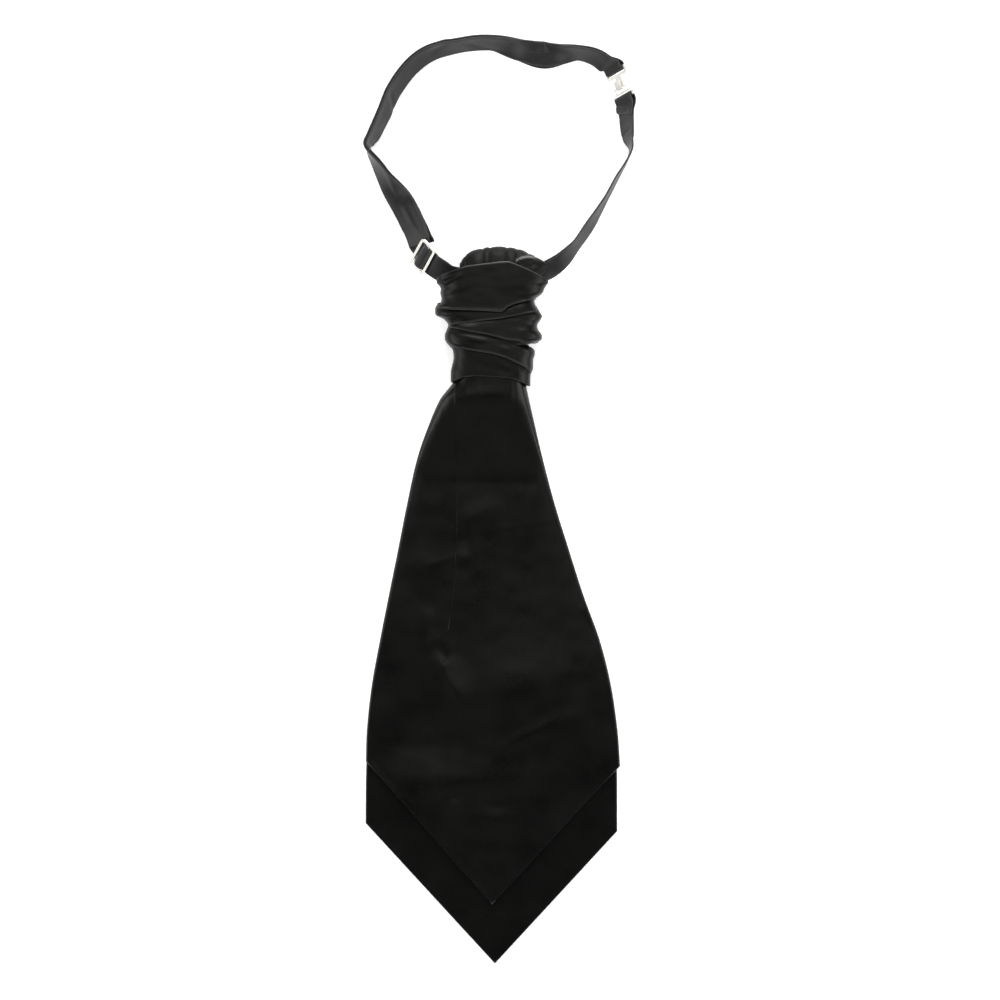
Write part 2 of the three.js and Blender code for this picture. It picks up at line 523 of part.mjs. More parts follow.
// The whole band as one path of points, each with half its width across: the hem behind the eye, the outer
// layer all the way round to the hook, and the return layer back to the slide.
function strapPath({ frames, slideFrame }, clasp) {
  const path = [];
  const total = frames[frames.length - 1].run;
  const eyeBar = claspPoint(clasp, CLASP.reach, -CLASP.step / 2);
  const hookBar = claspPoint(clasp, -CLASP.reach, CLASP.step / 2);
  const near = (distance) => 1 - smoothstep(distance, BAR_BLEND.near, BAR_BLEND.far);
  const add = (frame, out, distance, bar, side) => {
    const free = frame.point.clone().addScaledVector(frame.out, out);
    const towards = bar === eyeBar ? 1 : -1;
    const held = bar.clone().addScaledVector(clasp.out, side * FOLD_RADIUS);
    held.addScaledVector(clasp.forward, towards * distance);
    const share = near(distance);
    const across = frame.across.clone().lerp(clasp.across, share).normalize();
    path.push({ point: free.lerp(held, share), across: across.multiplyScalar(frame.half) });
  };
  const fold = (bar, towards, from, half) => {
    for (let k = 1; k < FOLD_STEPS; k++) {
      const turn = (Math.PI * k) / FOLD_STEPS;
      const point = bar.clone().addScaledVector(clasp.out, from * FOLD_RADIUS * Math.cos(turn));
      point.addScaledVector(clasp.forward, towards * FOLD_RADIUS * Math.sin(turn));
      path.push({ point, across: clasp.across.clone().multiplyScalar(half) });
    }
  };
  const tail = frames.filter((frame) => frame.run <= HEM_TAIL).reverse();
  for (const frame of tail) add(frame, -LAYER_STEP, frame.run, eyeBar, -1);
  fold(eyeBar, -1, -1, frames[0].half);
  for (const frame of frames) {
    const past = Math.abs(frame.pastSlide);
    const share = clamp((TUCK.from - past) / (TUCK.from - TUCK.to), 0, 1);
    const rise = DIP * (1 - Math.cos(Math.PI * share));
    if (frame.run < total / 2) add(frame, rise, frame.run, eyeBar, 1);
    else add(frame, rise, total - frame.run, hookBar, 1);
  }
  fold(hookBar, 1, 1, frames[frames.length - 1].half);
  const back = frames.filter((frame) => frame.pastSlide >= RETURN_END).reverse();
  for (const frame of back) {
    const rise = RETURN_RISE.height * (1 - smoothstep(frame.pastSlide, RETURN_RISE.from, TUCK.from));
    add(frame, rise - LAYER_STEP, total - frame.run, hookBar, -1);
  }
  return path;
}

function neckStrap(path) {
  const forward = path.map((_, j) => {
    const [before, after] = [path[Math.max(j - 1, 0)], path[Math.min(j + 1, path.length - 1)]];
    return after.point.clone().sub(before.point).normalize();
  });
  const face = (side) => (i, j) => {
    const { point, across } = path[j];
    const out = forward[j].clone().cross(across).normalize();
    const edge = point.clone().addScaledVector(across, i === 0 ? -1 : 1);
    return edge.addScaledVector(out, (side * STRAP_THICK) / 2);
  };
  return sheet(2, path.length, face(1), face(-1));
}

function roundedRectangle(path, left, bottom, right, top, radius) {
  path.moveTo(left + radius, bottom);
  path.lineTo(right - radius, bottom);
  path.absarc(right - radius, bottom + radius, radius, -Math.PI / 2, 0);
  path.lineTo(right, top - radius);
  path.absarc(right - radius, top - radius, radius, 0, Math.PI / 2);
  path.lineTo(left + radius, top);
  path.absarc(left + radius, top - radius, radius, Math.PI / 2, Math.PI);
  path.lineTo(left, bottom + radius);
  path.absarc(left + radius, bottom + radius, radius, Math.PI, 1.5 * Math.PI);
  return path;
}

// A flat stamping of thick sheet, with its middle at height.
function stamped(shape, thick, height) {
  const geometry = new THREE.ExtrudeGeometry(shape, { depth: thick, bevelEnabled: false, curveSegments: 5 });
  geometry.translate(0, 0, height - thick / 2);
  return geometry;
}

function slideFrameShape() {
  const { long, short, bar, thick, corner, inner_corner } = SLIDE;
  const shape = roundedRectangle(new THREE.Shape(), -long / 2, -short / 2, long / 2, short / 2, corner);
  const inside = long / 2 - bar;
  for (const side of [-1, 1]) {
    const [a, b] = [(side * bar) / 2, side * (short / 2 - bar)];
    const window = new THREE.Path();
    roundedRectangle(window, -inside, Math.min(a, b), inside, Math.max(a, b), inner_corner);
    shape.holes.push(window);
  }
  return stamped(shape, thick, 0);
}

function strapSlot(barY, towards) {
  const [near, far] = [barY + (towards * CLASP.bar) / 2, barY + towards * (CLASP.bar / 2 + SLOT.high)];
  const half = SLOT.wide / 2;
  const [low, high] = [Math.min(near, far), Math.max(near, far)];
  return roundedRectangle(new THREE.Path(), -half, low, half, high, SLOT.corner);
}

function solidOf(geometry) {
  const plain = geometry.clone();
  plain.deleteAttribute('normal');
  plain.deleteAttribute('uv');
  const merged = mergeVertices(plain, 1e-4);
  const vertProperties = new Float32Array(merged.attributes.position.array);
  const triVerts = new Uint32Array(merged.index.array);
  return new wasm.Manifold(new wasm.Mesh({ numProp: 3, vertProperties, triVerts }));
}

function geometryOf(solid) {
  const { vertProperties, triVerts } = solid.getMesh();
  const geometry = new THREE.BufferGeometry();
  geometry.setAttribute('position', new THREE.Float32BufferAttribute(vertProperties, 3));
  geometry.setIndex([...triVerts]);
  geometry.computeVertexNormals();
  return geometry;
}

// The hook: a slotted plate for the strap, and a tongue that turns down and back under the eye's arch.
function claspHook() {
  const barY = -CLASP.reach;
  const plane = CLASP.step / 2;
  const half = CLASP.width / 2;
  const plate = new THREE.Shape();
  roundedRectangle(plate, -half, barY - CLASP.bar / 2, half, TONGUE.start + TONGUE.root, CLASP.corner);
  plate.holes.push(strapSlot(barY, 1));
  const [inner, outer] = [CLASP.step - CLASP.thick / 2, CLASP.step + CLASP.thick / 2];
  const side = new THREE.Shape();
  side.moveTo(TONGUE.start, plane + CLASP.thick / 2);
  side.lineTo(TONGUE.start, plane - CLASP.thick / 2);
  side.lineTo(TONGUE.turn, plane - CLASP.thick / 2);
  side.absarc(TONGUE.turn, plane - CLASP.step, inner, Math.PI / 2, -Math.PI / 2, true);
  side.lineTo(TONGUE.back, plane - CLASP.step - inner);
  side.lineTo(TONGUE.back, plane - CLASP.step - outer);
  side.lineTo(TONGUE.turn, plane - CLASP.step - outer);
  side.absarc(TONGUE.turn, plane - CLASP.step, outer, -Math.PI / 2, Math.PI / 2, false);
  const options = { depth: TONGUE.width, bevelEnabled: false, curveSegments: 8 };
  const tongue = new THREE.ExtrudeGeometry(side, options);
  tongue.translate(0, 0, -TONGUE.width / 2);
  const turned = new THREE.Matrix4().makeBasis(
    new THREE.Vector3(0, 1, 0),
    new THREE.Vector3(0, 0, 1),
    new THREE.Vector3(1, 0, 0),
  );
  tongue.applyMatrix4(turned);
  return geometryOf(solidOf(stamped(plate, CLASP.thick, plane)).add(solidOf(tongue)));
}

// The eye: a slotted plate for the strap that narrows to an arch round the opening for the tongue.
function claspEye() {
  const barY = CLASP.reach;
  const plane = -CLASP.step / 2;
  const half = CLASP.width / 2;
  const { apex, spring, shoulder, round } = EYE_ARCH;
  const top = barY + CLASP.bar / 2;
  const plate = new THREE.Shape();
  plate.moveTo(-half, shoulder + round);
  plate.quadraticCurveTo(-half, shoulder, -half + round, shoulder);
  plate.quadraticCurveTo(-EYE_ARCH.half, shoulder, -EYE_ARCH.half, spring);
  plate.absellipse(0, spring, EYE_ARCH.half, spring - apex, Math.PI, 2 * Math.PI, false);
  plate.quadraticCurveTo(EYE_ARCH.half, shoulder, half - round, shoulder);
  plate.quadraticCurveTo(half, shoulder, half, shoulder + round);
  plate.lineTo(half, top - CLASP.corner);
  plate.absarc(half - CLASP.corner, top - CLASP.corner, CLASP.corner, 0, Math.PI / 2, false);
  plate.lineTo(-half + CLASP.corner, top);
  plate.absarc(-half + CLASP.corner, top - CLASP.corner, CLASP.corner, Math.PI / 2, Math.PI, false);
  const hole = new THREE.Path();
  hole.moveTo(-EYE_HOLE.half, EYE_HOLE.foot);
  hole.lineTo(-EYE_HOLE.half, spring);
  hole.absellipse(0, spring, EYE_HOLE.half, spring - EYE_HOLE.apex, Math.PI, 2 * Math.PI, false);
  hole.lineTo(EYE_HOLE.half, EYE_HOLE.foot);
  plate.holes.push(hole, strapSlot(barY, -1));
  return stamped(plate, CLASP.thick, plane);
}

// A metal piece stands in the strap's own directions: across the band, along it and out from its face.
function mesh(name, geometry, finish, place = null) {
  const piece = new THREE.Mesh(geometry, new THREE.MeshStandardMaterial(finish));
  piece.name = name;
  if (place) {
    const turn = new THREE.Matrix4().makeBasis(place.across.clone().negate(), place.forward, place.out);
    piece.position.copy(place.origin);
    piece.quaternion.setFromRotationMatrix(turn);
  }
  return piece;
}

function rucheTie() {
  const strap = strapFrames();
  const clasp = claspFrame(strap.frames);
  const { point, forward, across, out } = strap.slideFrame;
  const slidePlace = { origin: point.clone().addScaledVector(out, DIP), forward, across, out };
  const tie = new THREE.Group();
  tie.add(
    mesh('front_blade', frontBlade(), SATIN),
    mesh('back_blade', backBlade(), SATIN),
    mesh('gathered_head', gatheredHead(), SATIN),
    mesh('knot_wrap', knotWrap(), SATIN),
    mesh('neck_strap', neckStrap(strapPath(strap, clasp)), STRAP_SATIN),
    mesh('slide', slideFrameShape(), NICKEL, slidePlace),
    mesh('clasp_hook', claspHook(), NICKEL, clasp),
    mesh('clasp_eye', claspEye(), NICKEL, clasp),
  );
  return tie;
}

const group = rucheTie();

export default group;
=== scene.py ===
import math

import bpy
import numpy as np
from mathutils import Matrix, Vector


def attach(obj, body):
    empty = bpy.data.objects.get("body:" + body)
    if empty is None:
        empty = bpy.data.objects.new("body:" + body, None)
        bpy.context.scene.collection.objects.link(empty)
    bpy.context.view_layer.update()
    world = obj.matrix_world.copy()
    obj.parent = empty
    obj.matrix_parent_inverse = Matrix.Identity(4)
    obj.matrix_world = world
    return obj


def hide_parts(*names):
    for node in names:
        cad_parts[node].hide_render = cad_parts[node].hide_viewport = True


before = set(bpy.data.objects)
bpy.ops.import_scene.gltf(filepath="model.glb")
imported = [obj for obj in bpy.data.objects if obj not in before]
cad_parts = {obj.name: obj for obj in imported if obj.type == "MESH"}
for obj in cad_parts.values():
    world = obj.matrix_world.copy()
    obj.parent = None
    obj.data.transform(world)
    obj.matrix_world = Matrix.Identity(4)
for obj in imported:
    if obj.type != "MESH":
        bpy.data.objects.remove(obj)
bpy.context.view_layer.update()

MM = 0.001

# Table, camera and light
# The tie lies flat on a white light table, and a long lens looks straight down on it from above.
# Soft boxes stand low round the table, so the flat satin stays deep black and its folds catch their light.
WHITE = (1.0, 1.0, 1.0, 1.0)
VIEW_WIDTH = 551.0
VIEW_CENTRE = (0.3, -0.3)
LENS = 300.0
SENSOR = 36.0
SIGHT = 30.0
TABLE_SIZE = 9000.0
TABLE_DROP = 0.15
TABLE_SHADES = (0.9, 0.94)
TABLE_ROUGHNESS = 0.7
TABLE_GLOW = 0.4
MOTTLE_SCALE = 60.0
ROOM_LIGHT = 0.06
SOFT_BOXES = (
    # name, azimuth and elevation in degrees, distance and size in metres, watts
    ("left_box", 180.0, 36.0, 2.0, 1.4, 31.0),
    ("right_box", 0.0, 36.0, 2.0, 1.4, 31.0),
    ("far_box", 90.0, 26.0, 2.0, 1.4, 44.0),
    ("near_box", 270.0, 16.0, 2.0, 1.2, 22.0),
    ("high_box", 80.0, 74.0, 1.4, 0.6, 2.0),
    ("neck_box", 270.0, 53.0, 1.4, 1.2, 1.5),
)
camera_height = VIEW_WIDTH * LENS / SENSOR
camera_data = bpy.data.cameras.new("camera")
camera_data.lens = LENS
camera_data.sensor_width = SENSOR
camera_data.clip_end = SIGHT
camera = bpy.data.objects.new("camera", camera_data)
camera.location = (VIEW_CENTRE[0] * MM, VIEW_CENTRE[1] * MM, camera_height * MM)
bpy.context.scene.collection.objects.link(camera)
bpy.context.scene.camera = camera
bpy.context.scene.view_settings.view_transform = "Standard"


def fill(node, sockets):
    """Fills a shader node's sockets. A value is a number, a colour or another node's output."""
    for key, value in sockets.items():
        if isinstance(value, bpy.types.NodeSocket):
            node.id_data.links.new(value, node.inputs[key])
        else:
            node.inputs[key].default_value = value


def add(tree, kind, sockets, **settings):
    """A new shader node with its settings and its sockets filled."""
    made = tree.nodes.new(kind)
    for key, value in settings.items():
        setattr(made, key, value)
    fill(made, sockets)
    return made


def ranged(tree, value, from_range, to_range):
    """A value mapped from one range to another."""
    limits = zip(("From Min", "From Max", "To Min", "To Max"), (*from_range, *to_range))
    return add(tree, "ShaderNodeMapRange", {"Value": value, **dict(limits)}).outputs["Result"]


def material(name):
    """A new material with a Principled shader: the material, its tree and the shader."""
    made = bpy.data.materials.new(name)
    made.use_nodes = True
    return made, made.node_tree, made.node_tree.nodes["Principled BSDF"]


def piece(name, vertices, faces, surface, slot=None):
    """A mesh object in the frame from vertices in millimetres. With a slot it rides on the tie."""
    mesh = bpy.data.meshes.new(name)
    mesh.from_pydata((np.asarray(vertices) * MM).tolist(), [], faces)
    mesh.materials.append(surface)
    mesh.shade_smooth()
    made = bpy.data.objects.new(name, mesh)
    bpy.context.scene.collection.objects.link(made)
    if slot:
        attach(made, "root")
    return made


table_paint, tree, shader = material("white_table")
mottle = add(tree, "ShaderNodeTexNoise", {"Scale": MOTTLE_SCALE, "Detail": 4.0}).outputs["Fac"]
fill(shader, {
    "Base Color": ranged(tree, mottle, (0.0, 1.0), TABLE_SHADES),
    "Roughness": TABLE_ROUGHNESS,
    "Emission Color": WHITE,
    "Emission Strength": TABLE_GLOW,
})
half_table = TABLE_SIZE / 2
corners = [(x * half_table, y * half_table, -TABLE_DROP) for x, y in ((-1, -1), (1, -1), (1, 1), (-1, 1))]
table_top = piece("table_top", corners, [(0, 1, 2, 3)], table_paint)

world = bpy.data.worlds.new("studio")
world.use_nodes = True
fill(world.node_tree.nodes["Background"], {"Color": WHITE, "Strength": ROOM_LIGHT})
bpy.context.scene.world = world

for name, azimuth, elevation, away, size, watts in SOFT_BOXES:
    lamp = bpy.data.lights.new(name, "AREA")
    lamp.shape = "SQUARE"
    lamp.size = size
    lamp.energy = watts
    box = bpy.data.objects.new(name, lamp)
    turn, rise = math.radians(azimuth), math.radians(elevation)
    towards = Vector((math.cos(turn) * math.cos(rise), math.sin(turn) * math.cos(rise), math.sin(rise)))
    box.location = towards * away
    box.rotation_euler = towards.to_track_quat("Z", "Y").to_euler()
    box.visible_camera = False
    bpy.context.scene.collection.objects.link(box)

# Satin
# The blades, knot and head are one cloth: black polyester satin whose warp threads float on the face.
# It is soft to look at across the threads and a little brown where lint sits, and a highlight is painted
# lighter along its edges and fold lips.
SATIN_BLACK = (0.0007, 0.0007, 0.0007, 1.0)
SATIN_LINT = (0.0024, 0.0022, 0.0019, 1.0)
# The next colour is a painted highlight: the lighter colour that edges and fold lips are painted towards.
SATIN_PAINTED_HIGHLIGHT = (0.009, 0.009, 0.009, 1.0)
SATIN_SHEEN = (1.0, 0.99, 0.95, 1.0)
SHEEN_WEIGHT = 0.005
SHEEN_ROUGHNESS = 0.4
THREADS_PER_MM = (7.0, 0.7, 1.0)
THREAD_RELIEF = 0.015
CLOUD_SCALE = 0.05
CLOUD_RANGE = (0.3, 0.7)
CLOUD_ROUGHNESS = 0.06
LINT_SCALE = 0.9
LINT_RANGE = (0.42, 0.8)
LINT_MOST = 0.8


def effect(name, **inputs):
    """A shader group for a colour, a roughness and a height, with what it is given and its output node."""
    group = bpy.data.node_groups.new(name, "ShaderNodeTree")
    for label, value in inputs.items():
        kind = "NodeSocketColor" if isinstance(value, tuple) else "NodeSocketFloat"
        socket = group.interface.new_socket(label, in_out="INPUT", socket_type=kind)
        socket.default_value = value
    for label, kind in (("Colour", "Color"), ("Roughness", "Float"), ("Height", "Float")):
        group.interface.new_socket(label, in_out="OUTPUT", socket_type="NodeSocket" + kind)
    return group, group.nodes.new("NodeGroupInput").outputs, group.nodes.new("NodeGroupOutput")


def noise(tree, place, scale, detail):
    """The grey value of a noise texture at a place."""
    made = add(tree, "ShaderNodeTexNoise", {"Vector": place, "Scale": scale, "Detail": detail})
    return made.outputs["Fac"]


def stretched(tree, place, factors):
    """A place with each of its axes multiplied by a factor."""
    return add(tree, "ShaderNodeVectorMath", {0: place, 1: factors}, operation="MULTIPLY").outputs[0]


def blended(tree, share, first, second):
    """A colour that lies a share of the way from the first to the second."""
    return add(tree, "ShaderNodeMix", {"Factor": share, 6: first, 7: second}, data_type="RGBA").outputs[2]


def worked_out(tree, operation, first, second):
    """Two values added or multiplied."""
    return add(tree, "ShaderNodeMath", {0: first, 1: second}, operation=operation).outputs[0]


satin_cloth, given, result = effect(
    "satin_cloth", Colour=SATIN_BLACK, Lint=SATIN_LINT, Edge=SATIN_PAINTED_HIGHLIGHT, Roughness=0.4
)
flat_place = add(satin_cloth, "ShaderNodeUVMap", {}, uv_map="cloth").outputs[0]
in_mm = stretched(satin_cloth, flat_place, (1 / MM, 1 / MM, 1.0))
threads = noise(satin_cloth, stretched(satin_cloth, in_mm, THREADS_PER_MM), scale=1.0, detail=2.0)
clouds = noise(satin_cloth, in_mm, CLOUD_SCALE, detail=5.0)
specks = noise(satin_cloth, in_mm, LINT_SCALE, detail=3.0)
lint_share = ranged(satin_cloth, specks, LINT_RANGE, (0.0, LINT_MOST))
dusty = blended(satin_cloth, lint_share, given["Colour"], given["Lint"])
# The edge attribute is a painted highlight mask: where it is set, the colour is blended towards a lighter
# painted highlight colour.
painted_highlight_mask = add(satin_cloth, "ShaderNodeAttribute", {}, attribute_name="edge", attribute_type="GEOMETRY")
cloudy = ranged(satin_cloth, clouds, CLOUD_RANGE, (-CLOUD_ROUGHNESS, CLOUD_ROUGHNESS))
fill(result, {
    "Colour": blended(satin_cloth, painted_highlight_mask.outputs["Fac"], dusty, given["Edge"]),
    "Roughness": worked_out(satin_cloth, "ADD", given["Roughness"], cloudy),
    "Height": threads,
})


def finish(name, surface_effect, values, relief):
    """A material whose colour, roughness and relief come from an effect, and its shader. relief is in mm."""
    made, tree, shader = material(name)
    layer = add(tree, "ShaderNodeGroup", values, node_tree=surface_effect)
    bump = add(tree, "ShaderNodeBump", {"Height": layer.outputs["Height"], "Distance": relief * MM})
    fill(shader, {
        "Base Color": layer.outputs["Colour"],
        "Roughness": layer.outputs["Roughness"],
        "Normal": bump.outputs["Normal"],
    })
    return made, shader


def satin(name, roughness, gloss, edge=SATIN_PAINTED_HIGHLIGHT, colour=SATIN_BLACK, lint=SATIN_LINT):
    """A satin finish, with the colours of its threads and its lint, and the lighter colour of the highlight
    painted along its edges.
    """
    values = {"Colour": colour, "Lint": lint, "Edge": edge, "Roughness": roughness}
    made, shader = finish(name, satin_cloth, values, THREAD_RELIEF)
    fill(shader, {
        "Specular IOR Level": gloss,
        "Specular Tint": SATIN_SHEEN,
        "Sheen Weight": SHEEN_WEIGHT,
        "Sheen Roughness": SHEEN_ROUGHNESS,
    })
    return made


front_satin = satin("front_satin", roughness=0.31, gloss=0.18)
back_satin = satin("back_satin", roughness=0.36, gloss=0.12)

# Blades
# The two ends of one lined satin strip: each is about 140 mm wide, with a turned edge and a shallow point.
# The back one lies on the table, the front one on top of it, and both are bunched where the knot holds them.
CLOTH = 2.5
GAP = 0.3
KNOT_MID = 11.2
KNOT_OVER = 9.6
KNOT_UNDER = 9.5
KNOT_POWER = 3.0
KNOT_HEM = 60.0
NECK_CLEAR = 0.4
NECK_FULL = 0.97
NECK_TOP = 100.3
NECK_HEIGHTS = (NECK_TOP, 99.5, 98, 94, 86, 78, 72)
NECK_ROLL = 3.5
FLAT_FROM = 8.0
CLIMB_EASE = 0.16
EDGE_ROLL = 0.8
EDGE_RELIEF = 0.04
# A pair is a middle and a width, or a most and its reach. Puckers have a height, a size and a seed.
EDGE_RIDGE = (1.3, 0.9)
EDGE_GROOVE = (3.6, 0.8)
# EDGE_SHINE and SIDE_SHINE shape painted highlights: the colour is painted lighter along the blades' turned
# edges, and along the front blade's upper sides as far as SIDE_SHINE_FADE lets it.
EDGE_SHINE = (0.15, 0.7)
SIDE_SHINE = (0.45, 3.5)
SIDE_SHINE_FADE = (-90, 0)
SIDE_FALL = (1.1, 4.0)
SIDE_FALL_FADE = (-150, -60)
END_FALL = (0.4, 6.0)
CREASE_FADES = (-0.12, 0.22, 0.78, 1.12)
PUCKER_WAVES = 14
PUCKER_LENGTHS = (0.6, 1.7)
PUCKER_PEAK = 1.5
CROWDING = 0.9


def table(columns, *rows):
    """The named columns of a short table."""
    return dict(zip(columns.split(), np.array(rows, float).T))


def read(rows, column, y):
    """A column's value at y, on a smooth curve through the rows, which run down the tie."""
    at, value = rows["y"][::-1], rows[column][::-1]
    y = np.clip(y, at[0], at[-1])
    last = len(at) - 1
    i = np.clip(np.searchsorted(at, y, side="right") - 1, 0, last - 1)
    before, after = np.maximum(i - 1, 0), np.minimum(i + 2, last)
    span = at[i + 1] - at[i]
    out = (value[i + 1] - value[before]) / (at[i + 1] - at[before]) * span
    into = (value[after] - value[i]) / (at[after] - at[i]) * span
    drop = value[i] - value[i + 1]
    t = (y - at[i]) / span
    return value[i] + t * (out + t * (-3 * drop - 2 * out - into + t * (2 * drop + out + into)))


def smooth(value, low, high):
    """0 below low and 1 above high, with a soft step between."""
    t = np.clip((value - low) / (high - low), 0.0, 1.0)
    return t * t * (3 - 2 * t)


def between(value, start, full, fading_from, gone):
    """A soft rise from 0 at start to 1 at full, and a soft fall back to 0 at gone."""
    return smooth(value, start, full) * (1 - smooth(value, fading_from, gone))


def bell(value, middle, width):
    """1 at the middle, and next to nothing beyond twice the width from it."""
    return np.exp(-(((value - middle) / width) ** 2))


def fading(distance, most, reach):
    """The most at distance 0, and less and less away from it."""
    return most * np.exp(-np.maximum(distance, 0) / reach)


def mix(a, b, share):
    """The value that lies a share of the way from a to b."""
    return a + (b - a) * share


def bunching(y):
    """0 where the blades lie flat, 1 where the knot bunches them, and an even climb with eased ends."""
    t = np.clip((y - FLAT_FROM) / (KNOT_HEM - FLAT_FROM), 0.0, 1.0)
    end = np.minimum(t, 1 - t)
    eased = np.where(end < CLIMB_EASE, end**2 / (2 * CLIMB_EASE), end - CLIMB_EASE / 2) / (1 - CLIMB_EASE)
    return np.where(t < 0.5, eased, 1 - eased)


def parting(y):
    """The height that parts the front blade from the back one."""
    return mix(CLOTH + GAP / 2, KNOT_MID, bunching(y))


def oval(q):
    """How thick a bunched neck is at q, from -1 at its left side to 1 at its right, as a share."""
    return (1 - np.abs(NECK_FULL * q) ** KNOT_POWER) ** (1 / KNOT_POWER)


def across_share(outline, x, y):
    """-1 at a blade's left side, 1 at its right side."""
    left, right = read(outline, "left", y), read(outline, "right", y)
    return np.clip((2 * x - left - right) / (right - left), -1.0, 1.0)


def creases(rows, x, y):
    """The height of straight creases: a ridge, a hollow where height is below 0, or with lean a step."""
    total = np.zeros_like(x)
    for x0, y0, x1, y1, width, height, lean in zip(*rows.values()):
        run = np.hypot(x1 - x0, y1 - y0)
        along = ((x - x0) * (x1 - x0) + (y - y0) * (y1 - y0)) / run**2
        off = ((y - y0) * (x1 - x0) - (x - x0) * (y1 - y0)) / run / width
        step = (1 - abs(lean)) + 2 * lean * off
        total += height * between(along, *CREASE_FADES) * step * np.exp(-off * off)
    return total


def puckers(x, y, height, size, seed):
    """A soft uneven surface about height up and down, of waves about size long in seeded directions."""
    chance = np.random.default_rng(seed)
    total = np.zeros_like(x)
    for _ in range(PUCKER_WAVES):
        turn = chance.uniform(0, math.pi)
        length = size * chance.uniform(*PUCKER_LENGTHS)
        phase = chance.uniform(0, 2 * math.pi)
        total += np.sin(2 * math.pi * (x * math.cos(turn) + y * math.sin(turn)) / length + phase)
    return height * (total / math.sqrt(PUCKER_WAVES) / PUCKER_PEAK)


def shell(name, over, under, place, shine, surface, slot):
    """A closed sheet from two grids of points whose borders meet. place is its place in the flat cloth."""
    rows, columns = over.shape[:2]
    top = np.arange(rows * columns).reshape(rows, columns)
    bottom = top.copy()
    inner = (rows - 2) * (columns - 2)
    bottom[1:-1, 1:-1] = rows * columns + np.arange(inner).reshape(rows - 2, columns - 2)
    vertices = np.vstack([over.reshape(-1, 3), under[1:-1, 1:-1].reshape(-1, 3)])
    places = np.vstack([place.reshape(-1, 2), place[1:-1, 1:-1].reshape(-1, 2)])
    shines = np.concatenate([shine.reshape(-1), shine[1:-1, 1:-1].reshape(-1)])

    def quads(grid, flip):
        """The quads of a grid of vertex numbers, turned over if flip is set."""
        corners = [grid[:-1, :-1], grid[:-1, 1:], grid[1:, 1:], grid[1:, :-1]]
        return np.stack(corners[::-1] if flip else corners, axis=-1).reshape(-1, 4)

    row, column = rows // 2, columns // 2
    first = over[row, column]
    side = np.cross(over[row, column + 1] - first, over[row + 1, column] - first)
    outwards = np.dot(side, first - under[row, column]) > 0
    faces = np.vstack([quads(top, not outwards), quads(bottom, outwards)])
    made = piece(name, vertices, faces.tolist(), surface, slot)
    dress(made, places, shines)
    return made


def dress(made, places, shines):
    """Gives each point of a piece its place in the flat cloth, and how much painted highlight it gets."""
    mesh = made.data
    corner = np.empty(len(mesh.loops), np.int32)
    mesh.loops.foreach_get("vertex_index", corner)
    layer = mesh.uv_layers.new(name="cloth")
    layer.data.foreach_set("uv", (places[corner] * MM).astype(np.float32).ravel())
    # The edge attribute holds each point's share of painted highlight.
    mark = mesh.attributes.new("edge", "FLOAT", "POINT")
    mark.data.foreach_set("value", shines.astype(np.float32))


def soften(over, under, inside, roll):
    """Rounds a sheet's border: the two faces meet there, inside being the distance from it."""
    middle = (over + under) / 2
    share = np.sqrt(1 - (1 - np.clip(inside / roll, 0, 1)) ** 2)
    return middle + (over - middle) * share, middle + (under - middle) * share


def end_height(end, x):
    """The y of a blade's end below x: two straight edges that meet in the point."""
    left, point, right = end
    return np.where(
        x < point[0],
        mix(left[1], point[1], (x - left[0]) / (point[0] - left[0])),
        mix(point[1], right[1], (x - point[0]) / (right[0] - point[0])),
    )


def from_line(a, b, x, y):
    """How far a point lies above the line from a to b."""
    run = math.hypot(b[0] - a[0], b[1] - a[1])
    return ((b[0] - a[0]) * (y - a[1]) - (b[1] - a[1]) * (x - a[0])) / run


def from_side(outline, x, y):
    """How far a point lies inside the nearer side of a blade."""
    return np.minimum(x - read(outline, "left", y), read(outline, "right", y) - x)


def from_end(end, x, y):
    """How far a point lies above the nearer of the two edges of a blade's end."""
    left, point, right = end
    return np.minimum(from_line(left, point, x, y), from_line(point, right, x, y))


def crowd_at_start(count):
    """Shares from 0 to 1 that crowd towards 0."""
    t = np.linspace(0, 1, count)
    return mix(t, t**2, CROWDING)


def crowd_at_end(count):
    """Shares from 0 to 1 that crowd towards 1."""
    t = 1 - np.linspace(0, 1, count)
    return 1 - mix(t, t**2, CROWDING)


def fold_room(width):
    """How much of itself a pleat can show where its lap is that wide, as a share."""
    return np.clip(width / PLEAT_ROOM, PLEAT_LEAST, 1)


def blade_grid(outline, end, runs, heights, end_shares):
    """x and y of a blade's grid, and how far each point is from the blade's border. A run of columns goes
    from one line of the outline to another: (from, to, shares, shift at from, shift at to)."""
    columns = [(a, b, share, s0, s1) for a, b, shares, s0, s1 in runs for share in shares]

    def place(y):
        """x of each column at the heights y."""
        room = fold_room(read(outline, "fold", y) - read(outline, "left", y)) if "fold" in outline else 1
        return np.stack([
            mix(read(outline, a, y) + s0 * room, read(outline, b, y) + s1 * room, share)
            for a, b, share, s0, s1 in columns
        ], axis=-1)

    upper = np.array(heights, float)
    foot = end_height(end, place(np.array([outline["y"][-1]]))[0])
    low_y = mix(upper[-1], foot[None, :], np.asarray(end_shares)[1:, None])
    low_x = np.stack([place(low_y[:, k])[:, k] for k in range(len(columns))], axis=-1)
    x = np.vstack([place(upper), low_x])
    y = np.vstack([np.repeat(upper[:, None], len(columns), axis=1), low_y])
    inside = np.minimum.reduce([from_side(outline, x, y), from_end(end, x, y), NECK_TOP - y])
    return x, y, np.maximum(inside, 0)


def turned_edge(inside):
    """The relief of the turned and ironed edge: a soft ridge over the turning and a groove inside it."""
    return EDGE_RELIEF * (bell(inside, *EDGE_RIDGE) - bell(inside, *EDGE_GROOVE))


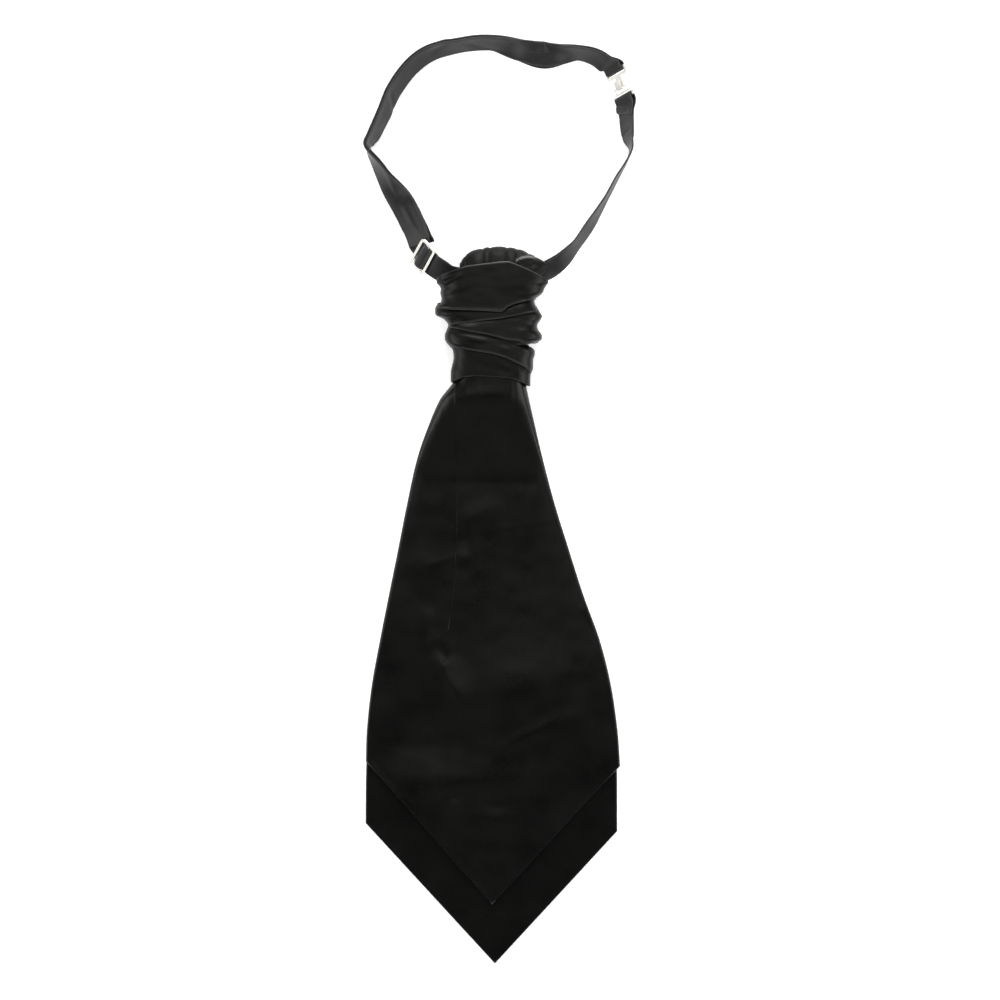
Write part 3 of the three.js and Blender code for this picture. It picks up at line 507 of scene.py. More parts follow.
def blade(name, x, y, top, bottom, inside, shine, surface):
    """A blade from the heights of its two faces, with its border rounded."""
    top, bottom = soften(top, bottom, inside, mix(EDGE_ROLL, NECK_ROLL, bunching(y)))
    faces = (np.stack([x, y, z], axis=-1) for z in (top, np.maximum(bottom, 0)))
    return shell(name, *faces, np.stack([x, y], axis=-1), shine, surface, "satin")


BACK_OUTLINE = table(
    "y left point right",
    (100, -22.4, -5.5, 13.2),
    (73, -22.4, -5.5, 13.2),
    (66, -24.2, -5.3, 14.4),
    (61, -26.2, -5.0, 14.8),
    (40, -36.5, -4.5, 17.5),
    (0, -48.0, -4.0, 27.5),
    (-50, -58.5, -3.5, 43.5),
    (-100, -68.4, -3.0, 58.8),
    (-140, -73.0, -2.5, 64.2),
    (-180, -73.8, -2.5, 64.9),
)
BACK_END = ((-73.8, -178.2), (-2.5, -255.7), (64.9, -182.7))
FRONT_END = ((-73.6, -144.1), (-4.1, -223.2), (66.4, -146.8))
BACK_CREASES = table(
    "x0 y0 x1 y1 width height lean",
    (-60, -176, -38, -206, 6, 0.35, 0.3),
    (-22, -232, 14, -236, 5, 0.4, 0.2),
    (30, -214, 52, -186, 6, 0.45, -0.3),
    (-44, -192, -10, -214, 7, -0.3, 0),
)
BACK_PUCKERS = (0.05, 18, 5)
BACK_HEIGHTS = np.concatenate([NECK_HEIGHTS, np.linspace(70, -150, 120)])
runs = [
    ("left", "point", crowd_at_start(52), 0, 0),
    ("point", "right", crowd_at_end(52)[1:], 0, 0),
]
x, y, inside = blade_grid(BACK_OUTLINE, BACK_END, runs, BACK_HEIGHTS, crowd_at_end(44))
falling = END_FALL[0] - fading(-from_end(FRONT_END, x, y), *END_FALL)
relief = turned_edge(inside) + creases(BACK_CREASES, x, y) + puckers(x, y, *BACK_PUCKERS) - falling
top = parting(y) - GAP / 2 + (1 - bunching(y)) * relief
bunched = KNOT_MID - (KNOT_UNDER - NECK_CLEAR) * oval(across_share(BACK_OUTLINE, x, y))
bottom = mix(0.0, bunched, bunching(y))
# Painted highlight along the back blade's turned edges.
shine = fading(inside, *EDGE_SHINE)
back_blade = blade("back_blade_cloth", x, y, top, bottom, inside, shine, back_satin)
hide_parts("back_blade")

FRONT_OUTLINE = table(
    "y left fold point right",
    (100, -22.4, -18.5, -5.5, 13.2),
    (73, -22.4, -19.5, -5.5, 13.2),
    (66, -24.4, -22.6, -5.3, 14.3),
    (62, -27.2, -24.7, -5.0, 14.8),
    (54.8, -32.8, -24.7, -4.8, 16.3),
    (38.3, -39.9, -24.2, -4.7, 20.1),
    (21.8, -45.5, -23.7, -4.6, 24.0),
    (-3, -51.0, -23.4, -4.5, 30.6),
    (-27.8, -55.9, -24.0, -4.4, 38.3),
    (-52.6, -60.9, -25.6, -4.3, 46.2),
    (-77.4, -65.8, -29.5, -4.2, 55.2),
    (-102.2, -70.3, -31.0, -4.1, 61.4),
    (-127, -73.0, -32.0, -4.1, 65.0),
    (-146, -73.6, -33.0, -4.1, 66.4),
)
FRONT_PUCKERS = (0.06, 16, 3)
FRONT_HEIGHTS = np.concatenate([NECK_HEIGHTS, np.linspace(70, -112, 112)])
NECK_PUCKERS = (0.07, 14, 8)
NECK_STRETCH = (3.2, 0.35)
NECK_PUCKERS_END = (64, 70)
SWELL_BELOW = 0.6
PLEAT_STEP = (0.6, 32.0)
PLEAT_FADES = (-80, -52, 54, 64)
PLEAT_REACH = 3.2
PLEAT_ROOM = 8.0
PLEAT_LEAST = 0.1
LAP_COLUMNS = 26
PLEAT_FOLD = table(
    "flat turned level",
    (-2.4, -2.4, 0),
    (-1.7, -1.3, 0),
    (-1.1, -0.4, 0),
    (-0.6, 0.3, 0),
    (-0.2, 0.8, 0.05),
    (0.1, 0.95, 0.2),
    (0.3, 0.85, 0.45),
    (0.5, 0.5, 0.66),
    (0.7, 0.12, 0.8),
    (0.9, -0.05, 0.9),
    (1.1, 0.02, 0.97),
    (1.4, 0.4, 1),
    (1.8, 1.0, 1),
    (2.4, 2.0, 1),
)
FRONT_WAVES = table(
    "x y angle length width height",
    (8, -104, 12, 46, 40, 2.0),
    (6, -104, 14, 40, 14, 0.9),
    (-27, -101, -64, 20, 9, 1.0),
    (-34, -132, 6, 28, 12, -1.7),
    (22, -128, 27, 22, 7, 0.8),
    (-14, -156, 7, 46, 9, 1.0),
    (-26, -164, 8, 11, 4.5, -0.6),
    (-3, -167, -12, 9, 4.5, -0.4),
    (-4, -176, 2, 30, 7, 0.6),
    (-6, -190, 0, 20, 8, -0.6),
    (42, -128, 60, 26, 12, 0.8),
    (-13, -10, 30, 13, 6, 0.6),
    (-44, -34, 0, 16, 6, 0.4),
    (0, 2, 0, 40, 17, 0.45),
)
FRONT_CREASES = table(
    "x0 y0 x1 y1 width height lean",
    (-23.0, -19, -5.0, -16.6, 0.9, 0.16, 0.3),
    (-5.0, -16.6, 33.0, -11.5, 0.8, 0.16, 0.3),
    (-22.5, -22.5, -17.0, -21.5, 1.5, -0.2, 0),
    (-22.5, -33.0, -16.5, -31.0, 3.6, 0.35, 0),
    (-55.5, -33.0, -45.0, -38.8, 0.9, 0.25, 0.2),
    (-45.0, -38.8, -25.0, -31.5, 0.9, 0.22, 0.2),
    (-40.0, -60, -39.0, -84, 4.0, 0.5, 0),
    (-36.0, -84, -18.0, -119, 2.8, 0.35, 0.3),
    (-36.0, -79, -29.5, -89, 3.2, -0.4, 0),
    (-29.5, -92, -24.5, -103, 1.6, -0.12, 0),
    (-1.5, -140, 27.5, -125, 3.4, 0.45, 0.4),
    (-30.5, -168.5, -13.0, -166, 2.6, 0.3, 0.3),
    (-26.0, -161, -23.0, -166, 2.4, -0.4, 0),
    (-2.5, -165, 1.0, -170, 2.6, -0.2, 0),
    (47.0, -57, 52.0, -68, 3.0, 0.4, 0),
    (22.0, 20, 12.0, -26, 5.0, 0.4, 0),
    (-38.0, 30, -46.0, -6, 5.0, 0.35, 0),
)


def waves(rows, x, y):
    """Broad soft swells of the cloth."""
    total = np.zeros_like(x)
    for x0, y0, angle, length, width, height in zip(*rows.values()):
        cos, sin = math.cos(math.radians(angle)), math.sin(math.radians(angle))
        along = ((x - x0) * cos + (y - y0) * sin) / length
        off = ((y - y0) * cos - (x - x0) * sin) / width
        total += height * np.exp(-along * along - off * off)
    return total


runs = [
    ("left", "fold", crowd_at_start(LAP_COLUMNS), 0, -PLEAT_REACH),
    *[("fold", "fold", [0], flat, flat) for flat in PLEAT_FOLD["flat"]],
    ("fold", "point", np.linspace(0, 1, 15), PLEAT_REACH, 0),
    ("point", "right", crowd_at_end(44)[1:], 0, 0),
]
x, y, inside = blade_grid(FRONT_OUTLINE, FRONT_END, runs, FRONT_HEIGHTS, crowd_at_end(60))
swell = waves(FRONT_WAVES, x, y)
side_fall = fading(from_side(FRONT_OUTLINE, x, y), *SIDE_FALL) * smooth(y, *SIDE_FALL_FADE)
relief = creases(FRONT_CREASES, x, y) + turned_edge(inside) + puckers(x, y, *FRONT_PUCKERS) - side_fall
past_fold = x - read(FRONT_OUTLINE, "fold", y)
lap, rest = np.zeros(LAP_COLUMNS), np.ones(x.shape[1] - LAP_COLUMNS - len(PLEAT_FOLD["level"]))
level = np.concatenate([lap, PLEAT_FOLD["level"], rest])
turn_in = np.concatenate([lap, PLEAT_FOLD["turned"] - PLEAT_FOLD["flat"], 0 * rest])
fade = between(y, *PLEAT_FADES)
pleat = fade * level * fading(past_fold, *PLEAT_STEP)
x = x + fade * turn_in * fold_room(-past_fold.min(axis=1))[:, None]
neck_share = bunching(y) * (1 - smooth(y, *NECK_PUCKERS_END))
neck_ripple = neck_share * puckers(x * NECK_STRETCH[0], y * NECK_STRETCH[1], *NECK_PUCKERS)
bunched = KNOT_MID + (KNOT_OVER - NECK_CLEAR) * oval(across_share(FRONT_OUTLINE, x, y))
top = mix(CLOTH + GAP + CLOTH + swell + relief, bunched, bunching(y)) + pleat + neck_ripple
bottom = parting(y) + GAP / 2 + SWELL_BELOW * np.maximum(swell, 0) * (1 - bunching(y))
# Painted highlight along the front blade's upper sides and its turned edges.
side_shine = fading(from_side(FRONT_OUTLINE, x, y), *SIDE_SHINE) * smooth(y, *SIDE_SHINE_FADE)
shine = fading(inside, *EDGE_SHINE) + side_shine
front_blade = blade("front_blade_cloth", x, y, top, bottom, inside, shine, front_satin)
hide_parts("front_blade")

# Knot
# A wide strip of the same satin, ruched into folds and sewn as an oval tube round the blades' necks.
# Each fold is a soft roll that laps over the one below, and the tube's ends are turned hems.
# The next colour is a painted highlight: the lighter colour that the fold lips and the top hem are painted
# towards.
KNOT_PAINTED_HIGHLIGHT = (0.08, 0.08, 0.08, 1.0)
WRAP_POWER = 4.0
WRAP_COLUMNS = 236
WRAP_GIRTH = 150.0
WRAP_HALF_WIDE = 26.0
WRAP_HALF_HIGH = 12.0
WRAP_BACK_IN = 10.7
WRAP_BACK = 13.2
FOLD_FULL = 2.1
LIP_ROLL = 0.85
LIP_COVER = 1.3
LIP_CLEAR = 0.4
# LIP_SHINE to HEM_SHINE_END place the painted highlight: a light line painted along each fold's lip and
# along the top hem, dimmed to HEM_DIM beyond HEM_FADES.
LIP_SHINE = 0.2
LIP_SHINE_FROM = 0.965
HEM_FADES = (-27.0, -18.0, 20.0, 25.0)
HEM_DIM = 0.2
HEM_SHINE_END = (0.005, 0.045)
HEM_ROWS = 4
SIDE_TUCK = 1.3
SIDE_TUCK_DEPTH = 1.2
MOUTH_DROP = 8.4
MOUTH_FRONT = (0.0, 0.3)
MOUTH_BACK = (0.4, 1.0)
KNOT_FINE = (0.1, 6.5, 21)
KNOT_BROAD = (0.2, 15, 22)
KNOT_STRETCH = 0.33
FOLD_TOPS = table(
    "top in_top",
    (24.4, 25.4),
    (26.6, 23.2),
    (25.8, 23.0),
    (26.2, 23.6),
    (25.4, 22.4),
    (22.6, 22.6),
)
FOLD_LINES = (
    ((-33.8, 121.2), (-28.6, 124.4), (-23.7, 126.0), (-17.4, 128.2), (-8.5, 129.4), (0.3, 130.4),
     (5.8, 130.7), (11.3, 128.5), (18.5, 125.1), (22.6, 122.9), (27.4, 120.2)),
    ((-33.8, 106.5), (-25.1, 105.6), (-12.5, 105.2), (1.4, 104.5), (4.0, 104.5), (6.7, 106.6),
     (11.3, 108.6), (17.9, 110.0), (23.4, 111.4)),
    ((-28.4, 96.8), (-25.7, 97.2), (-15.2, 98.6), (-8.5, 99.6), (1.9, 100.7), (8.5, 101.9),
     (16.6, 103.5), (23.2, 104.7)),
    ((-28.2, 96.0), (-26.4, 95.6), (-15.2, 93.6), (-7.2, 92.3), (0.1, 90.4), (5.0, 89.0),
     (11.3, 88.5), (14.2, 87.6), (17.6, 87.1), (23.4, 87.2)),
    ((-28.8, 85.4), (-20.4, 83.7), (-11.8, 82.4), (-5.9, 81.4), (2.0, 79.4), (8.7, 76.8),
     (13.9, 74.5), (17.0, 72.4), (19.0, 70.4)),
    ((-26.9, 64.4), (-24.5, 65.4), (-21.8, 66.9), (-15.2, 67.7), (-8.0, 67.5), (0.3, 67.0),
     (7.3, 66.5), (12.0, 64.8), (17.0, 62.2)),
)
KNOT_SIDES = table(
    "y left right",
    (131, -35.0, 27.6),
    (119, -34.8, 27.2),
    (116.5, -32.4, 25.2),
    (113.2, -32.5, 23.6),
    (109.9, -31.9, 19.4),
    (107.7, -32.8, 19.4),
    (106.1, -35.0, 20.2),
    (103.6, -35.4, 21.8),
    (101.0, -34.8, 23.4),
    (99.8, -31.8, 23.2),
    (98.4, -29.9, 22.4),
    (96.2, -28.3, 20.9),
    (93.4, -28.9, 21.2),
    (90.6, -30.0, 23.2),
    (87.6, -29.9, 23.0),
    (86.6, -29.4, 20.6),
    (85.2, -28.4, 15.6),
    (83.8, -26.8, 17.2),
    (82.4, -25.8, 19.2),
    (79.6, -25.3, 19.4),
    (76.9, -25.3, 18.6),
    (71.4, -26.6, 18.4),
    (68.6, -26.8, 17.2),
    (60, -26.9, 17.0),
)
HOLLOW = table(
    "y left right",
    (131, -28.2, 24.2),
    (122, -26.6, 22.0),
    (111, -24.4, 17.2),
    (102, -23.6, 14.5),
    (74, -23.6, 14.5),
    (66, -25.3, 15.4),
    (60, -25.7, 15.8),
)
KNOT_CREASES = table(
    "x0 y0 x1 y1 width height lean",
    (-34.5, 119.2, -21.5, 125.4, 1.0, -0.4, 0),
    (-33.5, 117.2, -19.0, 123.4, 1.3, 0.45, 0),
    (-33.0, 115.0, -23.5, 120.4, 0.9, -0.35, 0),
    (-32.5, 112.4, -20.0, 117.2, 2.2, 0.5, 0),
    (-31.5, 109.6, -14.0, 115.0, 1.5, -0.28, 0.2),
    (15.0, 117.6, 26.0, 116.0, 1.6, -0.22, 0),
    (13.0, 111.6, 23.0, 112.8, 1.4, 0.2, 0),
    (-20.0, 101.8, 6.0, 103.0, 1.4, 0.2, 0.3),
    (-27.0, 91.6, -8.0, 89.4, 1.0, -0.25, 0.2),
    (-26.0, 88.6, -6.0, 86.6, 1.2, 0.2, 0),
    (8.0, 98.6, 23.0, 100.2, 1.0, -0.35, 0.3),
    (12.0, 96.0, 23.0, 96.8, 0.9, -0.3, 0.3),
    (10.0, 92.6, 22.0, 92.0, 1.2, 0.25, 0),
    (-22.0, 89.6, 2.0, 84.8, 1.2, 0.2, 0.2),
    (0.0, 85.2, 16.0, 79.0, 1.2, -0.3, 0.3),
    (-24.0, 80.0, -19.0, 70.0, 1.6, 0.15, 0.2),
    (-4.0, 79.0, 6.0, 71.0, 2.2, 0.3, 0),
    (10.5, 72.6, 15.0, 66.0, 1.2, -0.18, 0.3),
)


def flattened(value, power):
    """A sine or cosine made fuller, for an oval section of that power."""
    return np.sign(value) * np.abs(value) ** (2 / power)


def even_angles(count, half_wide, half_high, power):
    """Angles round an oval section, at even steps along its girth and starting at its right side."""
    dense = np.linspace(0, 2 * np.pi, 4001)
    wide = flattened(np.cos(dense), power) * half_wide
    high = flattened(np.sin(dense), power) * half_high
    run = np.concatenate([[0], np.cumsum(np.hypot(np.diff(wide), np.diff(high)))])
    return np.interp(np.linspace(0, run[-1], count, endpoint=False), run, dense)


def oval_x(angle, left, right, power):
    """x round an oval section that reaches from left to right."""
    return (left + right) / 2 + (right - left) / 2 * flattened(np.cos(angle), power)


def section(angle, y, left, right, over, under, power):
    """Points of an oval section whose back lies flat on the table."""
    sin = np.sin(angle)
    z = KNOT_MID + np.where(sin > 0, over, under) * flattened(sin, power)
    return np.stack([oval_x(angle, left, right, power), y + 0 * angle, np.maximum(z, 0)], axis=-1)


angles = even_angles(WRAP_COLUMNS, WRAP_HALF_WIDE, WRAP_HALF_HIGH, WRAP_POWER)
front = np.sin(angles) >= 0
mouth_up = np.where(front, smooth(np.sin(angles), *MOUTH_FRONT), smooth(-np.sin(angles), *MOUTH_BACK))
mouth = MOUTH_DROP * (1 - mouth_up)


def fold_line(n):
    """The fold line's y all round the wrap: as named on its front, and straight across its back."""
    named_x, named_y = np.array(FOLD_LINES[n]).T
    x = oval_x(angles, named_x[0], named_x[-1], WRAP_POWER)
    behind = mix(named_y[0], named_y[-1], (angles - np.pi) / np.pi)
    line = np.where(front, np.interp(x, named_x, named_y), behind)
    weights = np.exp(-np.linspace(-2, 2, 7) ** 2)
    padded = np.concatenate([line[-3:], line, line[:3]])
    return np.convolve(padded, weights / weights.sum(), mode="valid")


def ring(y, side_y, inset, top, under):
    """A ring of the wrap's outside. Its sides stand where the knot's do at side_y, less the inset."""
    left, right = read(KNOT_SIDES, "left", side_y) + inset, read(KNOT_SIDES, "right", side_y) - inset
    return section(angles, y, left, right, top - KNOT_MID, under, WRAP_POWER)


rings = []
shine = []
last_fold = len(FOLD_LINES) - 1
for n in range(1, last_fold + 1):
    above = fold_line(n - 1)
    start_y = above - mouth if n == 1 else above + LIP_COVER
    end_y = fold_line(n) if n == last_fold else fold_line(n) - LIP_ROLL
    in_top, top = FOLD_TOPS["in_top"][n - 1], FOLD_TOPS["top"][n]
    down = np.linspace(0, 1, 22)
    if n == 1:
        down = np.linspace(0, 1, 40) ** 2
    if n == last_fold:
        down = 1 - np.linspace(1, 0, 30) ** 2
    for t in down:
        out = 1 - (1 - t) ** FOLD_FULL
        y = mix(start_y, end_y, t)
        covered = 0 if n == 1 else SIDE_TUCK * (1 - smooth(above - y, -LIP_COVER, SIDE_TUCK_DEPTH))
        side_y = y if n == 1 else np.minimum(y, above - LIP_ROLL - LIP_CLEAR)
        rings.append(ring(y, side_y, covered, mix(in_top, top, out), mix(WRAP_BACK_IN, WRAP_BACK, out)))
        # Painted highlight on the last rows of each fold, and on the top hem of the first fold.
        brink = LIP_SHINE * smooth(t, LIP_SHINE_FROM, 1.0)
        if n == 1:
            hem_lit = mix(HEM_DIM, 1.0, between(rings[-1][:, 0], *HEM_FADES))
            brink = brink + hem_lit * (1 - smooth(t, *HEM_SHINE_END))
        shine.append(brink + np.zeros(WRAP_COLUMNS))
    if n < last_fold:
        for turn in np.linspace(0, np.pi, 8)[1:]:
            inwards = LIP_ROLL * (1 - math.cos(turn))
            y = end_y - LIP_ROLL * math.sin(turn)
            rings.append(ring(y, end_y, inwards, top - inwards, WRAP_BACK - inwards))
            # Painted highlight fading round the lip's roll.
            shine.append(np.full(WRAP_COLUMNS, LIP_SHINE * (1 - turn / np.pi)))
outer_rows = len(rings)
for t in np.linspace(0, 1, 22):
    y = mix(fold_line(last_fold), fold_line(0) - mouth, t)
    hollow = (read(HOLLOW, "left", y), read(HOLLOW, "right", y))
    rings.append(section(angles, y, *hollow, KNOT_OVER, KNOT_UNDER, KNOT_POWER))
    shine.append(np.zeros(WRAP_COLUMNS))
rings, shine = np.array(rings), np.array(shine)

# The outside and the hollow meet in a rounded hem at each end of the tube.
for end, inner, step in ((0, -1, 1), (outer_rows - 1, outer_rows, -1)):
    middle = (rings[end] + rings[inner]) / 2
    for k in range(1, HEM_ROWS):
        share = math.sin(math.pi / 2 * k / HEM_ROWS)
        row = end + step * k
        rings[row] = middle + (rings[row] - middle) * np.array([share, 1, share])
    rings[end] = rings[inner] = middle
outside = rings[:outer_rows]
x, y = outside[..., 0], outside[..., 1]
crumple = creases(KNOT_CREASES, x, y) + puckers(x * KNOT_STRETCH, y, *KNOT_FINE) + puckers(x, y, *KNOT_BROAD)
face_up = smooth(np.sin(angles), 0.0, 0.5)
outside[..., 2] += crumple * face_up * np.minimum(np.arange(outer_rows) / HEM_ROWS, 1)[:, None]


def wrapped(rings):
    """Quads between rings of points. Each ring is closed, and the last one is joined to the first."""
    rows, columns = rings.shape[:2]
    grid = np.arange(rows * columns).reshape(rows, columns)
    below = np.roll(grid, -1, axis=0)
    corners = [grid, np.roll(grid, -1, axis=1), np.roll(below, -1, axis=1), below]
    return np.stack(corners, axis=-1).reshape(-1, 4)


def outward(vertices, faces):
    """The faces, turned over if they enclose their volume inside out."""
    a, b, c, d = (vertices[faces[:, k]] for k in range(4))
    volume = np.einsum("ij,ij->", a, np.cross(b, c) + np.cross(c, d))
    return faces if volume > 0 else faces[:, ::-1]


girth = np.linspace(0, WRAP_GIRTH, WRAP_COLUMNS)[None, :] + 0 * rings[..., 0]
ring_steps = np.linalg.norm(np.diff(rings, axis=0, prepend=rings[:1]), axis=-1).mean(axis=1)
climb = np.cumsum(ring_steps)[:, None] + 0 * girth
points = rings.reshape(-1, 3)
knot_satin = satin("knot_satin", roughness=0.4, gloss=0.165, edge=KNOT_PAINTED_HIGHLIGHT)
knot = piece("knot_folds", points, outward(points, wrapped(rings)).tolist(), knot_satin, "satin")
dress(knot, np.stack([girth, climb], axis=-1).reshape(-1, 2), shine.reshape(-1))
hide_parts("knot_wrap")

# Head
# At the top of the knot the strip of satin is folded over the neck strap in a bunch of small pleats.
# Its two legs go down into the knot, and a lap of the fold shows on the right with its turned edge up.
HEAD_MID = -0.9
HEAD_HALF = 21.0
HEAD_NECK_MID = -4.6
HEAD_NECK_HALF = 17.6
HEAD_WIDENS = 106.0
HEAD_FOOT = 100.6
HEAD_SHOULDER = 122.0
HEAD_CROWN = 139.1
HEAD_ROLL = 1.6
HEAD_RIM = 0.03
HEAD_FOOT_STEPS = (0, 0.2, 0.6, 1.2, 2.0)
HEAD_LEG_FROM = 104.0
HEAD_THINNER = 0.46
HEAD_FULLNESS = 2.2
HEAD_PUFFS = (0.14, 12, 31)
HEAD_STRETCH = (1.2, 6.0, 0.4)
CROWN_RADIUS = 12.0
CROWN_FALL_LEFT = 0.3
CROWN_FALL_RIGHT = 0.34
CROWN_SCALLOPS = 0.6
TUNNEL_MID = 11.1
TUNNEL_HALF = (1.0, 2.0)
TUNNEL_TOP = 130.4
TUNNEL_TOP_ENDS = (130.2, 131.8)
HEAD_VALLEYS = (-25.0, -17.8, -8.5, -5.2, 4.2, 9.1, 15.0, 21.5)
VALLEY_SLANT = 0.12
VALLEY_FAN = 1.2
LOBE_DEPTH = 1.05
LOBE_FULL = 2.2
LOBE_WIDE = 7.0
# LAP_SHEEN is a painted highlight colour: the lap's turned edge is painted towards it, placed by
# LAP_SHINE_AT and dimmed by LAP_DIM.
LAP_SHEEN = (0.16, 0.16, 0.165, 1.0)
LAP_REACH = 6.2
LAP_TURN = 2.6
LAP_EDGE = (
    (9.0, 131.6), (12.0, 133.2), (14.8, 133.7), (18.0, 133.7), (21.1, 133.0), (24.5, 131.3), (28.0, 128.3),
)
LAP_RISE = 1.7
LAP_STEP = (-0.3, 0.3)
LAP_SINK = 0.35
LAP_SINK_AT = (1.0, 4.0)
LAP_FROM = (8.8, 11.5)
LAP_SHINE_AT = (0.5, 0.5)
LAP_DIM = 0.75
LAP_DIM_FROM = (17.0, 21.0)
HEAD_CREASES = table(
    "x0 y0 x1 y1 width height lean",
    (15.5, 129.6, 27.0, 126.6, 1.1, -0.35, 0),
    (19.0, 126.0, 27.5, 124.2, 0.9, -0.3, 0),
    (-6.0, 136.6, 1.0, 133.2, 1.8, 0.3, 0),
    (-0.5, 137.8, 6.0, 134.0, 2.2, 0.35, 0),
    (10.0, 138.2, 17.5, 134.8, 0.9, -0.5, 0),
)
lap_x, lap_y = np.array(LAP_EDGE).T


def below_lap(points):
    """How far points lie below the edge of the lap."""
    return np.interp(points[..., 0], lap_x, lap_y, left=90) - points[..., 1]


rim = HEAD_RIM * np.linspace(0, 1, 6)
q = np.concatenate([rim - 1, np.linspace(HEAD_RIM - 1, 1 - HEAD_RIM, 150)[1:-1], 1 - HEAD_RIM + rim])
foot = HEAD_FOOT + np.array(HEAD_FOOT_STEPS)
leg = np.concatenate([foot, np.linspace(HEAD_LEG_FROM, HEAD_SHOULDER, 12)])
turns = np.linspace(0, np.pi, 44)[1:-1]
station_y = np.concatenate([leg, np.full(len(turns), HEAD_SHOULDER), leg[::-1]])
station_turn = np.concatenate([0 * leg, turns, 0 * leg + np.pi])
Q, Y = np.meshgrid(q, station_y)
TURN = np.repeat(station_turn[:, None], len(q), axis=1)
widen = smooth(Y, HEAD_WIDENS, HEAD_SHOULDER)
X = mix(HEAD_NECK_MID, HEAD_MID, widen) + Q * mix(HEAD_NECK_HALF, HEAD_HALF, widen)
valleys = np.array(HEAD_VALLEYS)
lean = X - VALLEY_SLANT * (Y - HEAD_SHOULDER) - VALLEY_FAN * np.sin(TURN) * Q
lobe = np.clip(np.searchsorted(valleys, lean) - 1, 0, len(valleys) - 2)
lobe_wide = valleys[lobe + 1] - valleys[lobe]
in_lobe = np.abs(2 * (lean - valleys[lobe]) / lobe_wide - 1)
across, turned, down = HEAD_STRETCH
puff = puckers(X * across, TURN * turned + Y * down, *HEAD_PUFFS)
pleat = LOBE_DEPTH * in_lobe**LOBE_FULL * np.minimum(lobe_wide / LOBE_WIDE, 1.0) - puff
depth = (KNOT_OVER - NECK_CLEAR) * (1 - HEAD_THINNER * np.abs(Q) ** 3) - pleat
drop = np.where(Q < 0, CROWN_FALL_LEFT * (Q**2 + Q**10), CROWN_FALL_RIGHT * np.abs(Q) ** 2.4)
rise = (HEAD_CROWN - HEAD_SHOULDER) * (1 - drop) - CROWN_SCALLOPS * pleat
spread = LAP_REACH * np.maximum(Q, 0) ** 4 * np.sin(np.clip(LAP_TURN * TURN, 0, np.pi)) ** 0.7
over = np.stack([X + spread, Y + rise * np.sin(TURN), KNOT_MID + depth * np.cos(TURN)], axis=-1)
front_share = np.maximum(np.cos(TURN), 0) ** 0.5
lap_lift = smooth(below_lap(over), *LAP_STEP) * (1 - LAP_SINK * smooth(below_lap(over), *LAP_SINK_AT))
over[..., 2] += LAP_RISE * lap_lift * smooth(over[..., 0], *LAP_FROM) * front_share
over[..., 2] += creases(HEAD_CREASES, over[..., 0], over[..., 1]) * front_share
half = TUNNEL_HALF[0] + TUNNEL_HALF[1] * Q**4
tunnel_rise = mix(TUNNEL_TOP, np.where(Q < 0, *TUNNEL_TOP_ENDS), Q * Q) - HEAD_SHOULDER
side = np.sign(np.cos(TURN)) * np.sqrt(np.abs(np.cos(TURN)))
under = np.stack([X + spread, Y + tunnel_rise * np.sin(TURN), TUNNEL_MID + half * side], axis=-1)
from_foot = np.where((TURN == 0) | (TURN >= np.pi), Y - HEAD_FOOT, np.inf)
inside = np.minimum((1 - np.abs(Q)) * HEAD_HALF, from_foot)
over, under = soften(over, under, np.maximum(inside, 0)[..., None], HEAD_ROLL)
head_satin = satin("head_satin", roughness=0.5, gloss=0.16, edge=LAP_SHEEN)
way_round = np.hypot(np.diff(station_y, prepend=0), np.diff(station_turn, prepend=0) * CROWN_RADIUS)
place = np.stack([X * HEAD_FULLNESS, np.cumsum(way_round)[:, None] + 0 * Q], axis=-1)
# Painted highlight along the lap's turned edge, dimmed towards its right end.
lap_shine = bell(below_lap(over), *LAP_SHINE_AT) * (np.cos(TURN) > 0.1)
lap_shine = lap_shine * (1 - LAP_DIM * smooth(over[..., 0], *LAP_DIM_FROM))
head = shell("head_pleats", over, under, place, lap_shine, head_satin, "satin")
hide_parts("gathered_head")

# Neck strap
# One band of the same satin, folded and pressed flat. From a fold sewn round the eye it runs through the
# head and the slide, up and over to the hook. There it folds round the bar and comes back under itself.
# The strap's black and lint colours are painted lighter than the rest of the satin's, as painted glare on
# the band; the lint specks themselves are real tone.
STRAP_BLACK_WITH_GLARE = (0.0148, 0.0151, 0.0157, 1.0)
STRAP_LINT_WITH_GLARE = (0.024, 0.0233, 0.0225, 1.0)
# The next colour is a painted highlight, and STRAP_SHINE places it along the strap's edges.
STRAP_PAINTED_HIGHLIGHT = (0.05, 0.05, 0.052, 1.0)
STRAP_THICK = 1.0
STRAP_HALF = 7.0
STRAP_RIM = (0, 0.03, 0.12, 0.27, 0.5, 0.9, 1.4, 2.0)
STRAP_SHINE = (0.6, 0.5)
STRAP_FINE = (0.1, 15, 41)
STRAP_BROAD = (0.4, 36, 42)
STRAP_STRETCH = 0.4
SEAM_DEPTH = 0.12
SEAM_PLACE = (1.5, 0.35)
LAYER_STEP = 1.3
STRAP_PITCH = 0.9
SLIDE_PITCH = 0.3
STRAP_SOFTEN = 3.0
STRAP_SOFTEN_FROM = (6.0, 14.0)
SLIDE_STATION = 16
SLIDE_DIP = 1.25
TUCK_FROM = 4.3
TUCK_TO = 0.65
RETURN_END = -1.2
RETURN_RISE = 1.2
RETURN_RISE_FROM = 0.8
CLASP_REACH = 8.2
CLASP_STEP = 1.3
FOLD_RADIUS = 1.5
BAR_NEAR = 1.5
BAR_FAR = 7.0
HEM_TAIL = 10.0
